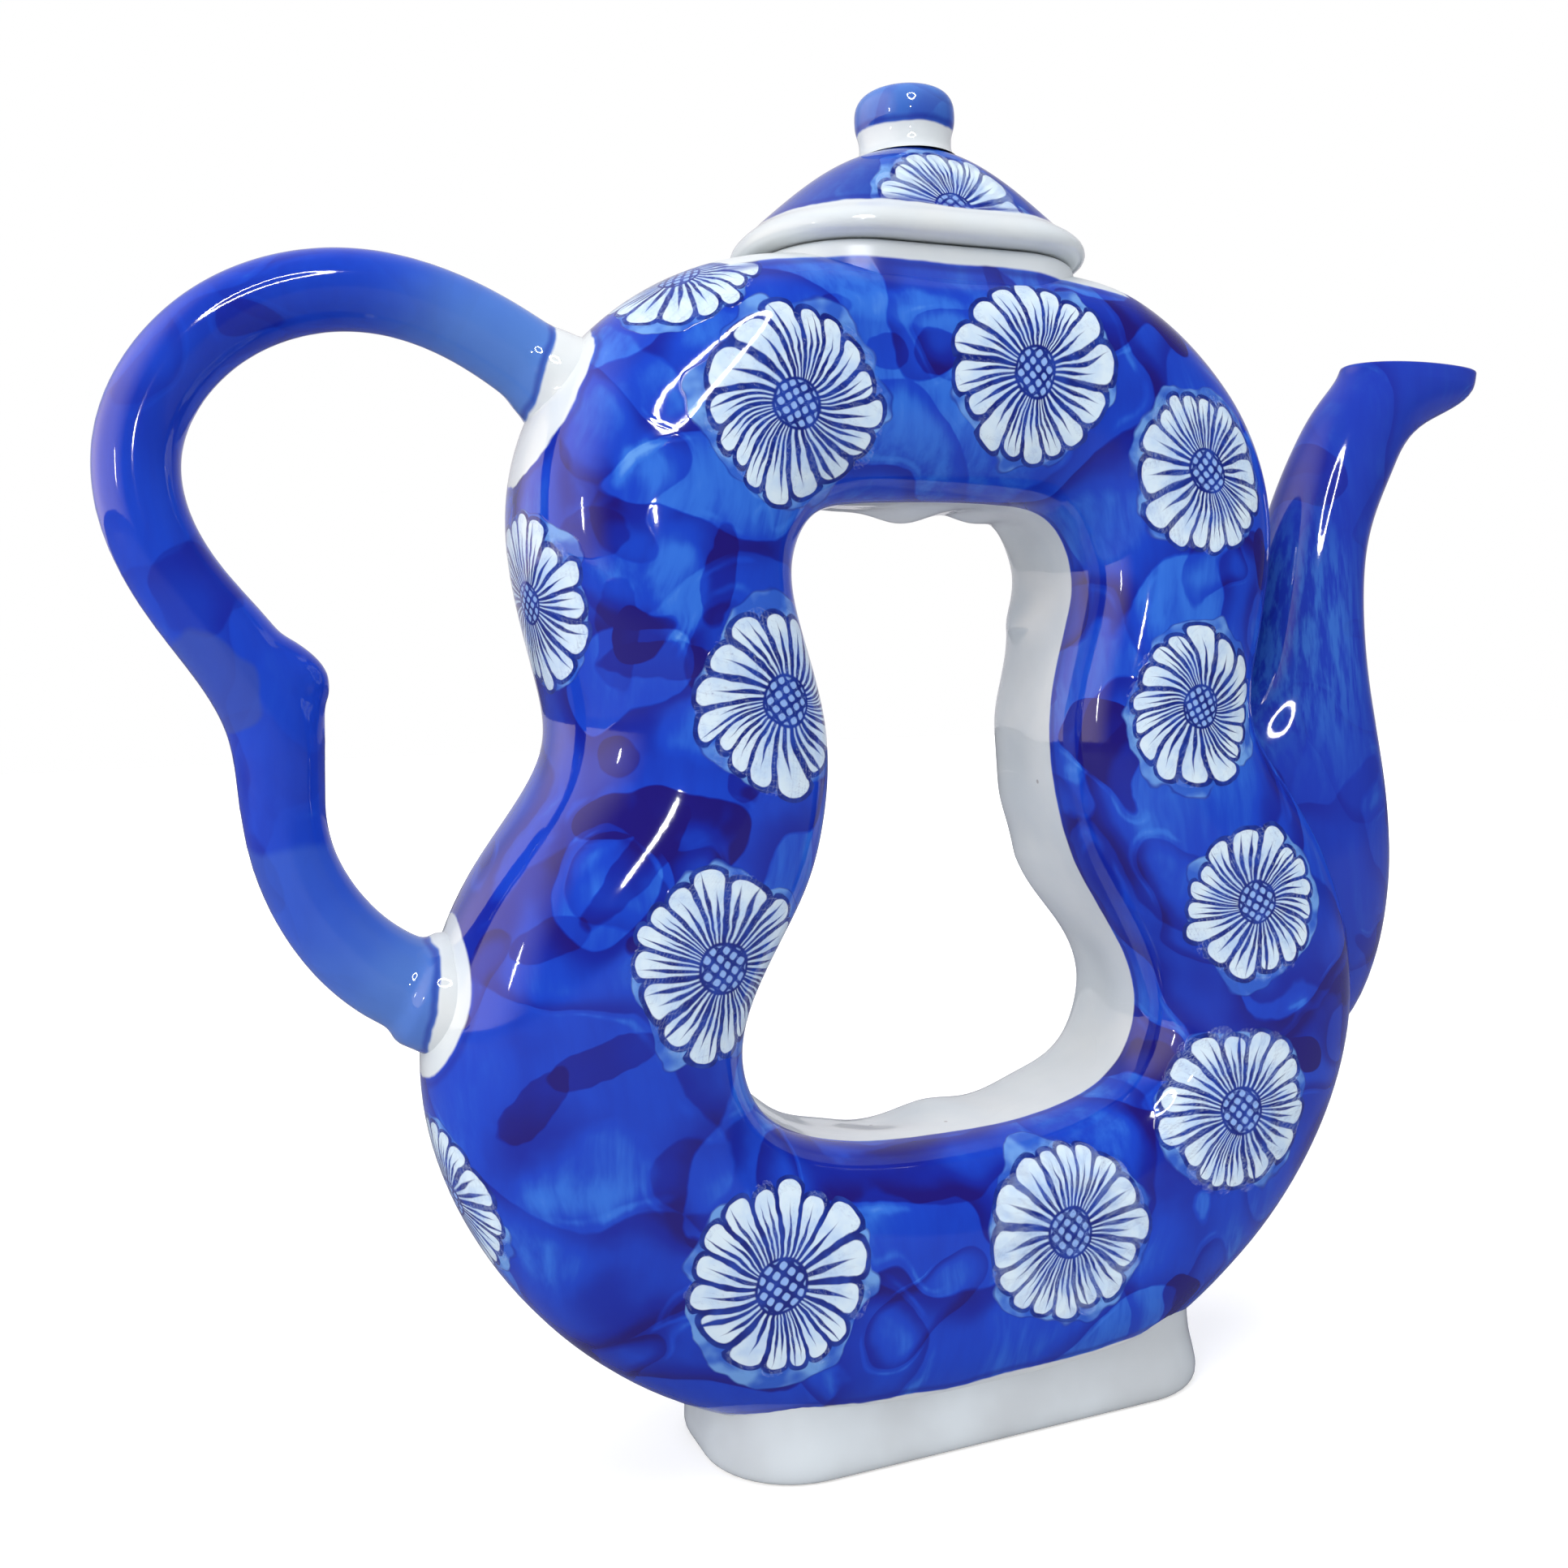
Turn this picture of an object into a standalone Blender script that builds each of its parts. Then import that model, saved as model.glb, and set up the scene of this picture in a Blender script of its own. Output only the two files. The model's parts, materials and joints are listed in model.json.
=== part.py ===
"""Pierced double-gourd teapot in glazed porcelain, with a lift-off lid.

Units are metres and +Z is up. The origin is under the middle of the whole pot, on the plane of the
foot's underside; +X points to the spout and -Y is the front face. The pot is built the way a potter builds
it: two moulded shell halves and a wall lining the window between them, then the foot, mouth collar,
strainer, spout and handle luted on. The lid is a dome with a thick rim, an upright flange below and
a knob on top.
"""

import math

import bmesh
import bpy
import numpy as np

# Clearance between neighbouring pieces, and the fired thickness of the clay
GAP = 0.0003
WALL = 0.0038

# Body outline and window outline: right half, from top centre to bottom centre, as (x, z).
# Both lists have the same length, because the shell is lofted from point to point.
BODY_OUTLINE = (
    (0.0, 0.1965), (0.026, 0.1965), (0.0455, 0.191), (0.0628, 0.1755), (0.0697, 0.1535), (0.066, 0.129),
    (0.0655, 0.1185), (0.0782, 0.0985), (0.087, 0.066), (0.0757, 0.0345), (0.0445, 0.0085), (0.0, 0.002),
)
WINDOW_OUTLINE = (
    (0.0, 0.1568), (0.0125, 0.1565), (0.0225, 0.154), (0.027, 0.1455), (0.0257, 0.1355), (0.022, 0.120),
    (0.0227, 0.106), (0.0267, 0.0935), (0.038, 0.0705), (0.0335, 0.057), (0.017, 0.0505), (0.0, 0.0495),
)
LOOP_STEPS = 3  # steps between two outline points

# Cross-section of the body's tube
CREST = 0.0215  # half depth at the front crest
WINDOW_HALF = 0.0080  # half depth of the straight window wall
ROLL = 0.0075  # width of the roll that turns the front into the window
SIDE_EDGE = 0.028  # width of the rounded outer edge at the sides
TOP_EDGE = 0.015  # the same at the mouth, where the shoulder is squarer
BASE_EDGE = 0.018  # the same at the foot
EDGE_POWER = 2.3  # superellipse exponent of the outer edge
EDGE_STEPS = 8
ROLL_STEPS = 4

# Foot ring, a rounded rectangle with a slight flare. Thrown by hand, it stands a little off the middle.
FOOT_X = 0.0018
FOOT_WIDTH = 0.0915
FOOT_DEPTH = 0.038
FOOT_RADIUS = 0.015
FOOT_TOP = 0.017
FOOT_FLARE = 0.0012
FOOT_WALL = 0.0065

# Mouth collar, lid and knob, all on one upright axis
MOUTH_X = 0.0010
MOUTH_WIDTH = 0.058
MOUTH_DEPTH = 0.036
MOUTH_RADIUS = 0.0165
COLLAR_WALL = 0.0045
COLLAR_LOW = 0.1865
COLLAR_TOP = 0.1965
RIM_WIDTH = 0.0615
RIM_DEPTH = 0.041
RIM_RADIUS = 0.0185
RIM_THICKNESS = 0.0060
RIM_LOW = COLLAR_TOP + GAP
RIM_BAND = 0.0036
DOME_LOW = 0.1994
DOME_TOP = 0.2152
DOME_WALL = 0.0036
FLANGE_WALL = 0.0030
FLANGE_CLEARANCE = 0.0009
FLANGE_LOW = 0.1885
VENT_RADIUS = 0.0015
VENT_PLACE = (-0.0125, 0.0095)
KNOB_RADIUS = 0.0082
KNOB_TOP = 0.2267

# Spout: cross-sections from the belly to the mouth, as inner edge x, z, outer edge x, z and half depth
SPOUT_SECTIONS = (
    (0.055, 0.114, 0.077, 0.048, 0.0150),
    (0.066, 0.122, 0.0945, 0.0635, 0.0148),
    (0.0695, 0.128, 0.1000, 0.082, 0.0137),
    (0.0717, 0.135, 0.0994, 0.102, 0.0124),
    (0.0738, 0.143, 0.0966, 0.119, 0.0113),
    (0.0765, 0.152, 0.0954, 0.136, 0.0103),
    (0.080, 0.161, 0.0975, 0.151, 0.0095),
    (0.0850, 0.171, 0.1043, 0.1645, 0.0088),
    (0.0905, 0.179, 0.1143, 0.1750, 0.0083),
    (0.0945, 0.1838, 0.1270, 0.1820, 0.0080),
    (0.0952, 0.1852, 0.12856, 0.1856, 0.0077),
)
SPOUT_WALL = 0.0030
SPOUT_STEPS = 2  # steps between two sections
SPOUT_SIDES = 20
SPOUT_BEAK = 0.45  # how far the mouth narrows towards its lip

# Handle centre line from the upper to the lower joint, as x, z and the half thickness in the pot's plane
HANDLE_PATH = (
    (-0.053, 0.1695, 0.0070), (-0.064, 0.1775, 0.0066), (-0.075, 0.1840, 0.0062),
    (-0.088, 0.1876, 0.0060), (-0.101, 0.1862, 0.0060), (-0.1135, 0.1790, 0.0060),
    (-0.1217, 0.1660, 0.0060), (-0.1218, 0.1540, 0.0061), (-0.1165, 0.1425, 0.0064),
    (-0.1095, 0.1325, 0.0069), (-0.1058, 0.1235, 0.0068), (-0.1053, 0.1140, 0.0062),
    (-0.1043, 0.1045, 0.0060), (-0.1010, 0.0960, 0.0063), (-0.0955, 0.0885, 0.0068),
    (-0.0880, 0.0830, 0.0073), (-0.0770, 0.0795, 0.0076),
)
HANDLE_DEPTH = 1.08  # depth of the handle's oval over its in-plane thickness
HANDLE_SIDES = 16
HANDLE_STEPS = 2
SPUR_TIP = (-0.0980, 0.1272)  # tip of the thumb spur, inside the handle's loop
SPUR_ROOT = (-0.1130, 0.1350)
UPPER_COLLAR_END = (-0.0648, 0.1780)  # where the white slip collar stops on the handle
LOWER_COLLAR_END = (-0.0882, 0.0832)
COLLAR_SWELL = 0.0020  # how far a slip collar stands proud of the handle
UPPER_FLARE = 0.0060  # how much wider each collar grows by its end inside the body
LOWER_FLARE = 0.0022

# Strainer: an oval of body wall behind the spout, pierced with round holes
STRAINER_CENTRE = (0.080, 0.088)
STRAINER_HEIGHT = 0.030
STRAINER_DEPTH = 0.017
STRAINER_HOLE = 0.0016
STRAINER_RINGS = ((1, 0.0, 0.0), (6, 0.0046, 0.0080))  # count, y radius and z radius of each ring

COBALT = (0.010, 0.035, 0.42)
COBALT_LIGHT = (0.05, 0.16, 0.55)
WHITE_GLAZE = (0.72, 0.78, 0.82)
BARE_CLAY = (0.66, 0.63, 0.58)


# ---- scene and materials


def clear_scene():
    for obj in list(bpy.data.objects):
        bpy.data.objects.remove(obj)


def glaze(name, colour, roughness=0.12):
    material = bpy.data.materials.new(name)
    material.use_nodes = True
    shader = material.node_tree.nodes["Principled BSDF"]
    shader.inputs["Base Color"].default_value = (*colour, 1.0)
    shader.inputs["Roughness"].default_value = roughness
    shader.inputs["Metallic"].default_value = 0.0
    return material


def make_object(name, points, faces, material=None):
    """A smooth-shaded object from points and faces, with its faces turned outwards."""
    mesh = bpy.data.meshes.new(name)
    mesh.from_pydata([tuple(p) for p in points], [], [tuple(f) for f in faces])
    shape = bmesh.new()
    shape.from_mesh(mesh)
    bmesh.ops.recalc_face_normals(shape, faces=shape.faces)
    shape.to_mesh(mesh)
    shape.free()
    mesh.shade_smooth()
    mesh.set_sharp_from_angle(angle=math.radians(40))
    obj = bpy.data.objects.new(name, mesh)
    bpy.context.scene.collection.objects.link(obj)
    if material is not None:
        mesh.materials.append(material)
    return obj


def stand_at(obj, x):
    """Moves an upright piece so that its own axis stands at x."""
    obj.location.x = x
    return obj


def as_cutter(obj):
    obj.hide_render = True
    obj.display_type = "WIRE"
    return obj


def boolean(obj, other, operation):
    modifier = obj.modifiers.new(f"{operation.lower()} {other.name}", "BOOLEAN")
    modifier.operation = operation
    modifier.solver = "EXACT"
    modifier.object = other


# ---- curves


def spline(points, steps, closed):
    """A smooth cubic curve through the points, with the same number of steps between each two of them.

    Each row of points is x, z and any further values that vary along the curve. An open curve ends
    with no bend, and the parameter grows with the distance between the points.
    """
    points = np.array(points, float)
    count = len(points)
    ahead = np.roll(points, -1, axis=0)
    spans = np.linalg.norm((ahead - points)[:, :2], axis=1) ** 0.75
    system = np.eye(count)
    target = np.zeros_like(points)
    for i in range(0 if closed else 1, count if closed else count - 1):
        after = (i + 1) % count
        system[i] = 0.0
        system[i, i - 1] = spans[i - 1]
        system[i, i] = 2 * (spans[i - 1] + spans[i])
        system[i, after] = spans[i]
        rise = (points[after] - points[i]) / spans[i]
        rise_before = (points[i] - points[i - 1]) / spans[i - 1]
        target[i] = 6 * (rise - rise_before)
    bend = np.linalg.solve(system, target)
    curve = []
    for i in range(count if closed else count - 1):
        after = (i + 1) % count
        span = spans[i]
        slope = (points[after] - points[i]) / span - span * (2 * bend[i] + bend[after]) / 6
        for step in range(steps):
            u = span * step / steps
            cubic = (bend[after] - bend[i]) / (6 * span)
            curve.append(points[i] + slope * u + bend[i] / 2 * u**2 + cubic * u**3)
    if not closed:
        curve.append(points[-1])
    return np.array(curve)


def symmetric_loop(right_half):
    """A closed outline, mirrored from its right half, sampled with LOOP_STEPS steps a span."""
    left_half = [(-x, z) for x, z in reversed(right_half[1:-1])]
    return spline(list(right_half) + left_half, LOOP_STEPS, closed=True)


def rounded_rectangle(width, depth, radius, steps=5):
    """Points (x, y) round a rounded rectangle, anticlockwise."""
    radius = min(radius, width / 2 - 1e-4, depth / 2 - 1e-4)
    points = []
    for quarter, (sx, sy) in enumerate(((1, 1), (-1, 1), (-1, -1), (1, -1))):
        centre_x = sx * (width / 2 - radius)
        centre_y = sy * (depth / 2 - radius)
        for step in range(steps + 1):
            angle = math.pi / 2 * (quarter + step / steps)
            points.append((centre_x + radius * math.cos(angle), centre_y + radius * math.sin(angle)))
    return points


# ---- lofts


def loft(name, rows, material=None, ends="caps"):
    """A closed solid through rows of points. Each row is a closed loop with the same count of points.

    ends is "caps" to close the first and last rows with a face, or "join" to join them to each other.
    """
    count = len(rows[0])
    points = [p for row in rows for p in row]
    faces = []
    last = len(rows) if ends == "join" else len(rows) - 1
    for i in range(last):
        near = i * count
        far = (i + 1) % len(rows) * count
        for k in range(count):
            after = (k + 1) % count
            faces.append((near + k, near + after, far + after, far + k))
    if ends == "caps":
        faces.append(range(count))
        faces.append(range((len(rows) - 1) * count, len(rows) * count))
    return make_object(name, points, faces, material)


def edge_width(x, z):
    """Width of the outer edge's rounding at a point of the body outline: squarer at mouth and foot."""
    beside = min(1.0, max(0.0, (abs(x) - 0.030) / 0.030))
    blend = beside * beside * (3 - 2 * beside)
    squarer = TOP_EDGE if z > 0.1 else BASE_EDGE
    return squarer + (SIDE_EDGE - squarer) * blend


def tube_section(span, edge, inset):
    """Front half of the body's cross-section as (s, depth), from the outer seam over the crest to the window.

    s runs from the body outline to the window outline, span apart. inset shrinks the section evenly.
    """
    section = []
    for step in range(EDGE_STEPS + 1):
        angle = math.pi / 2 * step / EDGE_STEPS
        s = edge - (edge - inset) * math.cos(angle) ** (2 / EDGE_POWER)
        section.append((s, (CREST - inset) * math.sin(angle) ** (2 / EDGE_POWER)))
    for step in range(ROLL_STEPS + 1):
        angle = math.pi / 2 * step / ROLL_STEPS
        s = span - ROLL + (ROLL - inset) * math.sin(angle)
        section.append((s, WINDOW_HALF + (CREST - WINDOW_HALF - inset) * math.cos(angle)))
    return section


def body_rows(section_of):
    """Rows round the body ring. section_of(span, edge) gives each closed section as (s, y)."""
    rows = []
    for outer, window in zip(symmetric_loop(BODY_OUTLINE), symmetric_loop(WINDOW_OUTLINE)):
        across = window - outer
        span = np.linalg.norm(across)
        row = []
        for s, y in section_of(span, edge_width(*outer)):
            x, z = outer + across * s / span
            row.append((x, y, z))
        rows.append(row)
    return rows


def body_solid(name, inset):
    """The whole body ring as a solid with no hollow, larger than the body when inset is negative."""

    def section(span, edge):
        front = tube_section(span, edge, inset)
        back = [(s, -y) for s, y in reversed(front[1:])]
        return front + back

    return as_cutter(loft(name, body_rows(section), ends="join"))


# ---- the pot


def make_shell_half(name, side, material):
    """One moulded half of the body shell. side is -1 for the front half and 1 for the back half."""

    def section(span, edge):
        outside = tube_section(span, edge, 0.0)
        inside = tube_section(span, edge, WALL)
        outline = outside + inside[::-1]
        return [(s, side * max(depth, GAP / 2)) for s, depth in outline]

    return loft(name, body_rows(section), material, ends="join")


def make_window_wall(material):
    """The white band that lines the window and joins the two shell halves."""
    half = WINDOW_HALF - GAP

    def section(span, edge):
        return [(span, -half), (span, half), (span - WALL, half), (span - WALL, -half)]

    return loft("window_wall", body_rows(section), material, ends="join")


def level_loop(width, depth, radius, z):
    return [(x, y, z) for x, y in rounded_rectangle(width, depth, radius)]


def ring_rows(outline_of, levels, wall):
    """Rows of an upright ring: up the outside through the levels, then down the inside.

    outline_of(grow) gives the loop's width, depth and corner radius, grown by that much on each side.
    Each level is (z, grow).
    """
    rows = [level_loop(*outline_of(grow), z) for z, grow in levels]
    rows += [level_loop(*outline_of(-wall), z) for z, grow in reversed(levels)]
    return rows


def grown(width, depth, radius):
    return lambda grow: (width + 2 * grow, depth + 2 * grow, radius + grow)


def make_foot_ring(envelope, material):
    levels = ((0.0, FOOT_FLARE * 0.6), (0.0012, FOOT_FLARE), (0.008, 0.0), (FOOT_TOP, 0.0))
    outline = grown(FOOT_WIDTH, FOOT_DEPTH, FOOT_RADIUS)
    foot = stand_at(loft("foot_ring", ring_rows(outline, levels, FOOT_WALL), material, ends="join"), FOOT_X)
    boolean(foot, envelope, "DIFFERENCE")
    return foot


def make_mouth_collar(material):
    levels = ((COLLAR_LOW, 0.0), (COLLAR_TOP - 0.0010, 0.0), (COLLAR_TOP, -0.0008))
    outline = grown(MOUTH_WIDTH, MOUTH_DEPTH, MOUTH_RADIUS)
    collar = loft("mouth_collar", ring_rows(outline, levels, COLLAR_WALL), material, ends="join")
    return stand_at(collar, MOUTH_X)


def make_mouth_cutter():
    """A rounded column that opens the top of the body for the mouth collar."""
    width, depth, radius = grown(MOUTH_WIDTH, MOUTH_DEPTH, MOUTH_RADIUS)(GAP)
    low = COLLAR_LOW - 0.006
    rows = [level_loop(width, depth, radius, z) for z in (low, COLLAR_TOP + 0.01)]
    return as_cutter(stand_at(loft("mouth_cutter", rows), MOUTH_X))


def oval_column(name, grow):
    """An oval column along X through the body wall behind the spout, as a cutter."""
    centre_x, centre_z = STRAINER_CENTRE
    rows = []
    for x in (centre_x - 0.016, centre_x + 0.02):
        row = []
        for side in range(28):
            angle = math.tau * side / 28
            y = (STRAINER_DEPTH / 2 + grow) * math.cos(angle)
            z = (STRAINER_HEIGHT / 2 + grow) * math.sin(angle)
            row.append((x, y, centre_z + z))
        rows.append(row)
    return loft(name, rows)


def strainer_drills():
    """Round columns for the strainer's holes, joined in one cutter."""
    points = []
    faces = []
    centre_x, centre_z = STRAINER_CENTRE
    for count, y_radius, z_radius in STRAINER_RINGS:
        for index in range(count):
            turn = math.tau * (index + 0.5) / count
            y = y_radius * math.cos(turn)
            z = centre_z + z_radius * math.sin(turn)
            first = len(points)
            for x in (centre_x - 0.02, centre_x + 0.02):
                for side in range(10):
                    angle = math.tau * side / 10
                    spread = (STRAINER_HOLE * math.cos(angle), STRAINER_HOLE * math.sin(angle))
                    points.append((x, y + spread[0], z + spread[1]))
            for side in range(10):
                after = (side + 1) % 10
                faces.append((first + side, first + after, first + 10 + after, first + 10 + side))
            faces.append(range(first, first + 10))
            faces.append(range(first + 10, first + 20))
    return as_cutter(make_object("strainer_drills", points, faces))


def make_strainer(skin, hollow, material):
    """The pierced oval of wall behind the spout, cut from the body's own wall."""
    strainer = oval_column("strainer", -GAP)
    strainer.data.materials.append(material)
    boolean(strainer, skin, "INTERSECT")
    boolean(strainer, hollow, "DIFFERENCE")
    boolean(strainer, strainer_drills(), "DIFFERENCE")
    return strainer


# ---- spout and handle


def spout_rows(wall):
    """Rows of oval sections along the spout, its inner surface when wall is above zero."""
    rows = []
    stations = spline(SPOUT_SECTIONS, SPOUT_STEPS, closed=False)
    for index, (inner_x, inner_z, outer_x, outer_z, half_depth) in enumerate(stations):
        along = index / (len(stations) - 1)
        centre = np.array((inner_x + outer_x, inner_z + outer_z)) / 2
        reach = np.array((outer_x - inner_x, outer_z - inner_z)) / 2
        half_length = np.linalg.norm(reach)
        reach *= (half_length - wall) / half_length
        beak = SPOUT_BEAK * along**4
        row = []
        for side in range(SPOUT_SIDES):
            angle = math.tau * side / SPOUT_SIDES
            x, z = centre + reach * math.cos(angle)
            pinch = 1 - beak * (1 + math.cos(angle)) / 2
            row.append((x, (half_depth - wall) * pinch * math.sin(angle), z))
        rows.append(row)
    return rows


def make_spout(envelope, material):
    rows = spout_rows(0.0) + spout_rows(SPOUT_WALL)[::-1]
    spout = loft("spout", rows, material, ends="join")
    boolean(spout, envelope, "DIFFERENCE")
    return spout


def sweep_rows(stations, grow=0.0):
    """Oval rows round a centre line of stations (x, z, half thickness), square to the line."""
    line = np.array(stations)
    heading = np.gradient(line[:, :2], axis=0)
    heading /= np.linalg.norm(heading, axis=1)[:, None]
    rows = []
    for (x, z, thickness), (ahead_x, ahead_z) in zip(line, heading):
        row = []
        for side in range(HANDLE_SIDES):
            angle = math.tau * side / HANDLE_SIDES
            across = (thickness + grow) * math.cos(angle)
            depth = (thickness + grow) * HANDLE_DEPTH * math.sin(angle)
            row.append((x - ahead_z * across, depth, z + ahead_x * across))
        rows.append(row)
    return rows


def make_handle(envelope, material):
    path = spline(HANDLE_PATH, HANDLE_STEPS, closed=False)
    handle = loft("handle", sweep_rows(path), material)
    spur_path = []
    for step in range(5):
        share = step / 4
        x = SPUR_ROOT[0] + (SPUR_TIP[0] - SPUR_ROOT[0]) * share
        z = SPUR_ROOT[1] + (SPUR_TIP[1] - SPUR_ROOT[1]) * share
        spur_path.append((x, z, 0.0056 * math.sqrt(1.06 - share**4)))
    spur = as_cutter(loft("thumb_spur", sweep_rows(spur_path)))
    boolean(handle, spur, "UNION")
    boolean(handle, envelope, "DIFFERENCE")
    return handle


def collar_stations(end, towards_start):
    """The stretch of the handle's centre line from a collar's end into the body."""
    path = spline(HANDLE_PATH, 8, closed=False)
    nearest = int(np.argmin(np.linalg.norm(path[:, :2] - np.array(end), axis=1)))
    return path[: nearest + 1][::-1] if towards_start else path[nearest:]


def make_handle_collar(name, end, flare, towards_start, envelope, material):
    """A raised ring of slip round the handle where it meets the body, widening towards the body."""
    line = collar_stations(end, towards_start)
    outside = []
    for index, (x, z, thickness) in enumerate(line):
        share = index / (len(line) - 1)
        swell = COLLAR_SWELL * (0.35 + 0.65 * min(1.0, 5 * share)) + flare * share**1.5
        outside.append((x, z, thickness + swell))
    rows = sweep_rows(outside) + sweep_rows(line, GAP)[::-1]
    collar = loft(name, rows, material, ends="join")
    boolean(collar, envelope, "DIFFERENCE")
    return collar


# ---- the lid


def make_lid_rim(material):
    """The thick edge of the lid: a rounded nose that slopes up and inwards to meet the dome."""
    nose = RIM_THICKNESS * 0.3
    section = [(RIM_BAND, 0.0), (nose * 1.1, 0.0)]
    for step in range(1, 6):
        angle = math.radians(-90 + 140 * step / 6)
        section.append((nose * (1 - math.cos(angle)), nose * (1 + math.sin(angle))))
    section += [(RIM_BAND * 0.55, RIM_THICKNESS * 0.82), (RIM_BAND * 0.86, RIM_THICKNESS)]
    section.append((RIM_BAND, RIM_THICKNESS))
    rows = []
    for inset, rise in section:
        width = RIM_WIDTH - 2 * inset
        rows.append(level_loop(width, RIM_DEPTH - 2 * inset, RIM_RADIUS - inset, RIM_LOW + rise))
    return stand_at(loft("lid_rim", rows, material, ends="join"), MOUTH_X)


def dome_loop(share, grow, z):
    """A level loop of the dome: a rounded rectangle at the rim that closes to a circle at the knob."""
    width = RIM_WIDTH - 2 * (RIM_BAND + GAP)
    depth = RIM_DEPTH - 2 * (RIM_BAND + GAP)
    narrow = 2 * (KNOB_RADIUS - 0.0005)
    width += (narrow - width) * share
    depth += (narrow - depth) * share
    return level_loop(width + 2 * grow, depth + 2 * grow, depth / 2 + grow, z)


def make_lid_dome(material):
    """A low cushion-shaped cap inside the rim, hollow underneath, with a steam vent at the back."""
    shoulder = RIM_LOW + RIM_THICKNESS - 0.0004
    inner_shoulder = shoulder - 0.0012
    outside = [dome_loop(0.0, 0.0, DOME_LOW)]
    inside = [dome_loop(0.0, -DOME_WALL, DOME_LOW)]
    for step in range(7):
        share = step / 6
        rise = 0.6 * math.sin(share * math.pi / 2) + 0.4 * share
        outside.append(dome_loop(share, 0.0, shoulder + (DOME_TOP - shoulder) * rise))
        inner_z = inner_shoulder + (DOME_TOP - DOME_WALL - inner_shoulder) * rise
        inside.append(dome_loop(share * 0.9, -DOME_WALL, inner_z))
    dome = stand_at(loft("lid_dome", inside[::-1] + outside, material), MOUTH_X)
    vent = []
    for z in (DOME_LOW - 0.002, DOME_TOP + 0.002):
        circle = []
        for side in range(12):
            angle = math.tau * side / 12
            x = VENT_PLACE[0] + VENT_RADIUS * math.cos(angle)
            circle.append((x, VENT_PLACE[1] + VENT_RADIUS * math.sin(angle), z))
        vent.append(circle)
    boolean(dome, as_cutter(stand_at(loft("vent_cutter", vent), MOUTH_X)), "DIFFERENCE")
    return dome


def make_lid_flange(material):
    """The upright skirt that drops into the mouth and keeps the lid in place."""
    shrink = COLLAR_WALL + FLANGE_CLEARANCE
    outline = grown(MOUTH_WIDTH - 2 * shrink, MOUTH_DEPTH - 2 * shrink, MOUTH_RADIUS - shrink)
    levels = ((FLANGE_LOW, -0.0006), (FLANGE_LOW + 0.0010, 0.0), (DOME_LOW - GAP, 0.0))
    flange = loft("lid_flange", ring_rows(outline, levels, FLANGE_WALL), material, ends="join")
    return stand_at(flange, MOUTH_X)


def make_lid_knob(material):
    """A turned button on a short neck, with a domed top."""
    low = DOME_TOP + GAP
    neck = ((0.94, 0.0), (0.91, 0.0015), (0.93, 0.0035), (0.985, 0.0050), (1.0, 0.0062))
    profile = [(KNOB_RADIUS * width, low + rise) for width, rise in neck]
    round_start = KNOB_TOP - 0.0034
    for step in range(5):
        angle = math.pi / 2 * step / 5
        radius = KNOB_RADIUS * (0.62 + 0.38 * math.cos(angle))
        profile.append((radius, round_start + 0.0028 * math.sin(angle)))
    profile += [(KNOB_RADIUS * 0.40, KNOB_TOP - 0.0002), (KNOB_RADIUS * 0.15, KNOB_TOP)]
    rows = []
    for radius, z in profile:
        row = []
        for side in range(28):
            angle = math.tau * side / 28
            row.append((radius * math.cos(angle), radius * math.sin(angle), z))
        rows.append(row)
    return stand_at(loft("lid_knob", rows, material), MOUTH_X)


def build():
    clear_scene()
    cobalt = glaze("cobalt_glaze", COBALT)
    light_cobalt = glaze("light_cobalt_glaze", COBALT_LIGHT)
    white = glaze("white_glaze", WHITE_GLAZE)
    clay = glaze("bare_porcelain", BARE_CLAY, roughness=0.6)

    envelope = body_solid("body_envelope", -GAP)
    skin = body_solid("body_skin", 0.0)
    hollow = body_solid("body_hollow", WALL)
    mouth = make_mouth_cutter()
    spout_hole = as_cutter(oval_column("spout_hole_cutter", 0.0))

    for name, side in (("body_front_half", -1), ("body_back_half", 1)):
        half = make_shell_half(name, side, cobalt)
        boolean(half, mouth, "DIFFERENCE")
        boolean(half, spout_hole, "DIFFERENCE")
    make_window_wall(white)
    make_foot_ring(envelope, white)
    make_mouth_collar(white)
    make_strainer(skin, hollow, clay)
    make_spout(envelope, cobalt)
    make_handle(envelope, light_cobalt)
    make_handle_collar("handle_upper_collar", UPPER_COLLAR_END, UPPER_FLARE, True, envelope, white)
    make_handle_collar("handle_lower_collar", LOWER_COLLAR_END, LOWER_FLARE, False, envelope, white)
    make_lid_rim(white)
    make_lid_dome(cobalt)
    make_lid_flange(clay)
    make_lid_knob(cobalt)


build()
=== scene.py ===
"""Looks of the pierced blue-and-white porcelain teapot: hand-painted cobalt under a clear glaze.

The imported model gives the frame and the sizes. Each glazed piece is rebuilt here as a fine smooth
surface over its solid, and the brushwork, the chrysanthemums and the glaze are node materials.
Lengths are in metres unless a name says mm.
"""

import json
import math

import bpy
import numpy as np
from mathutils import Matrix, Vector

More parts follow.
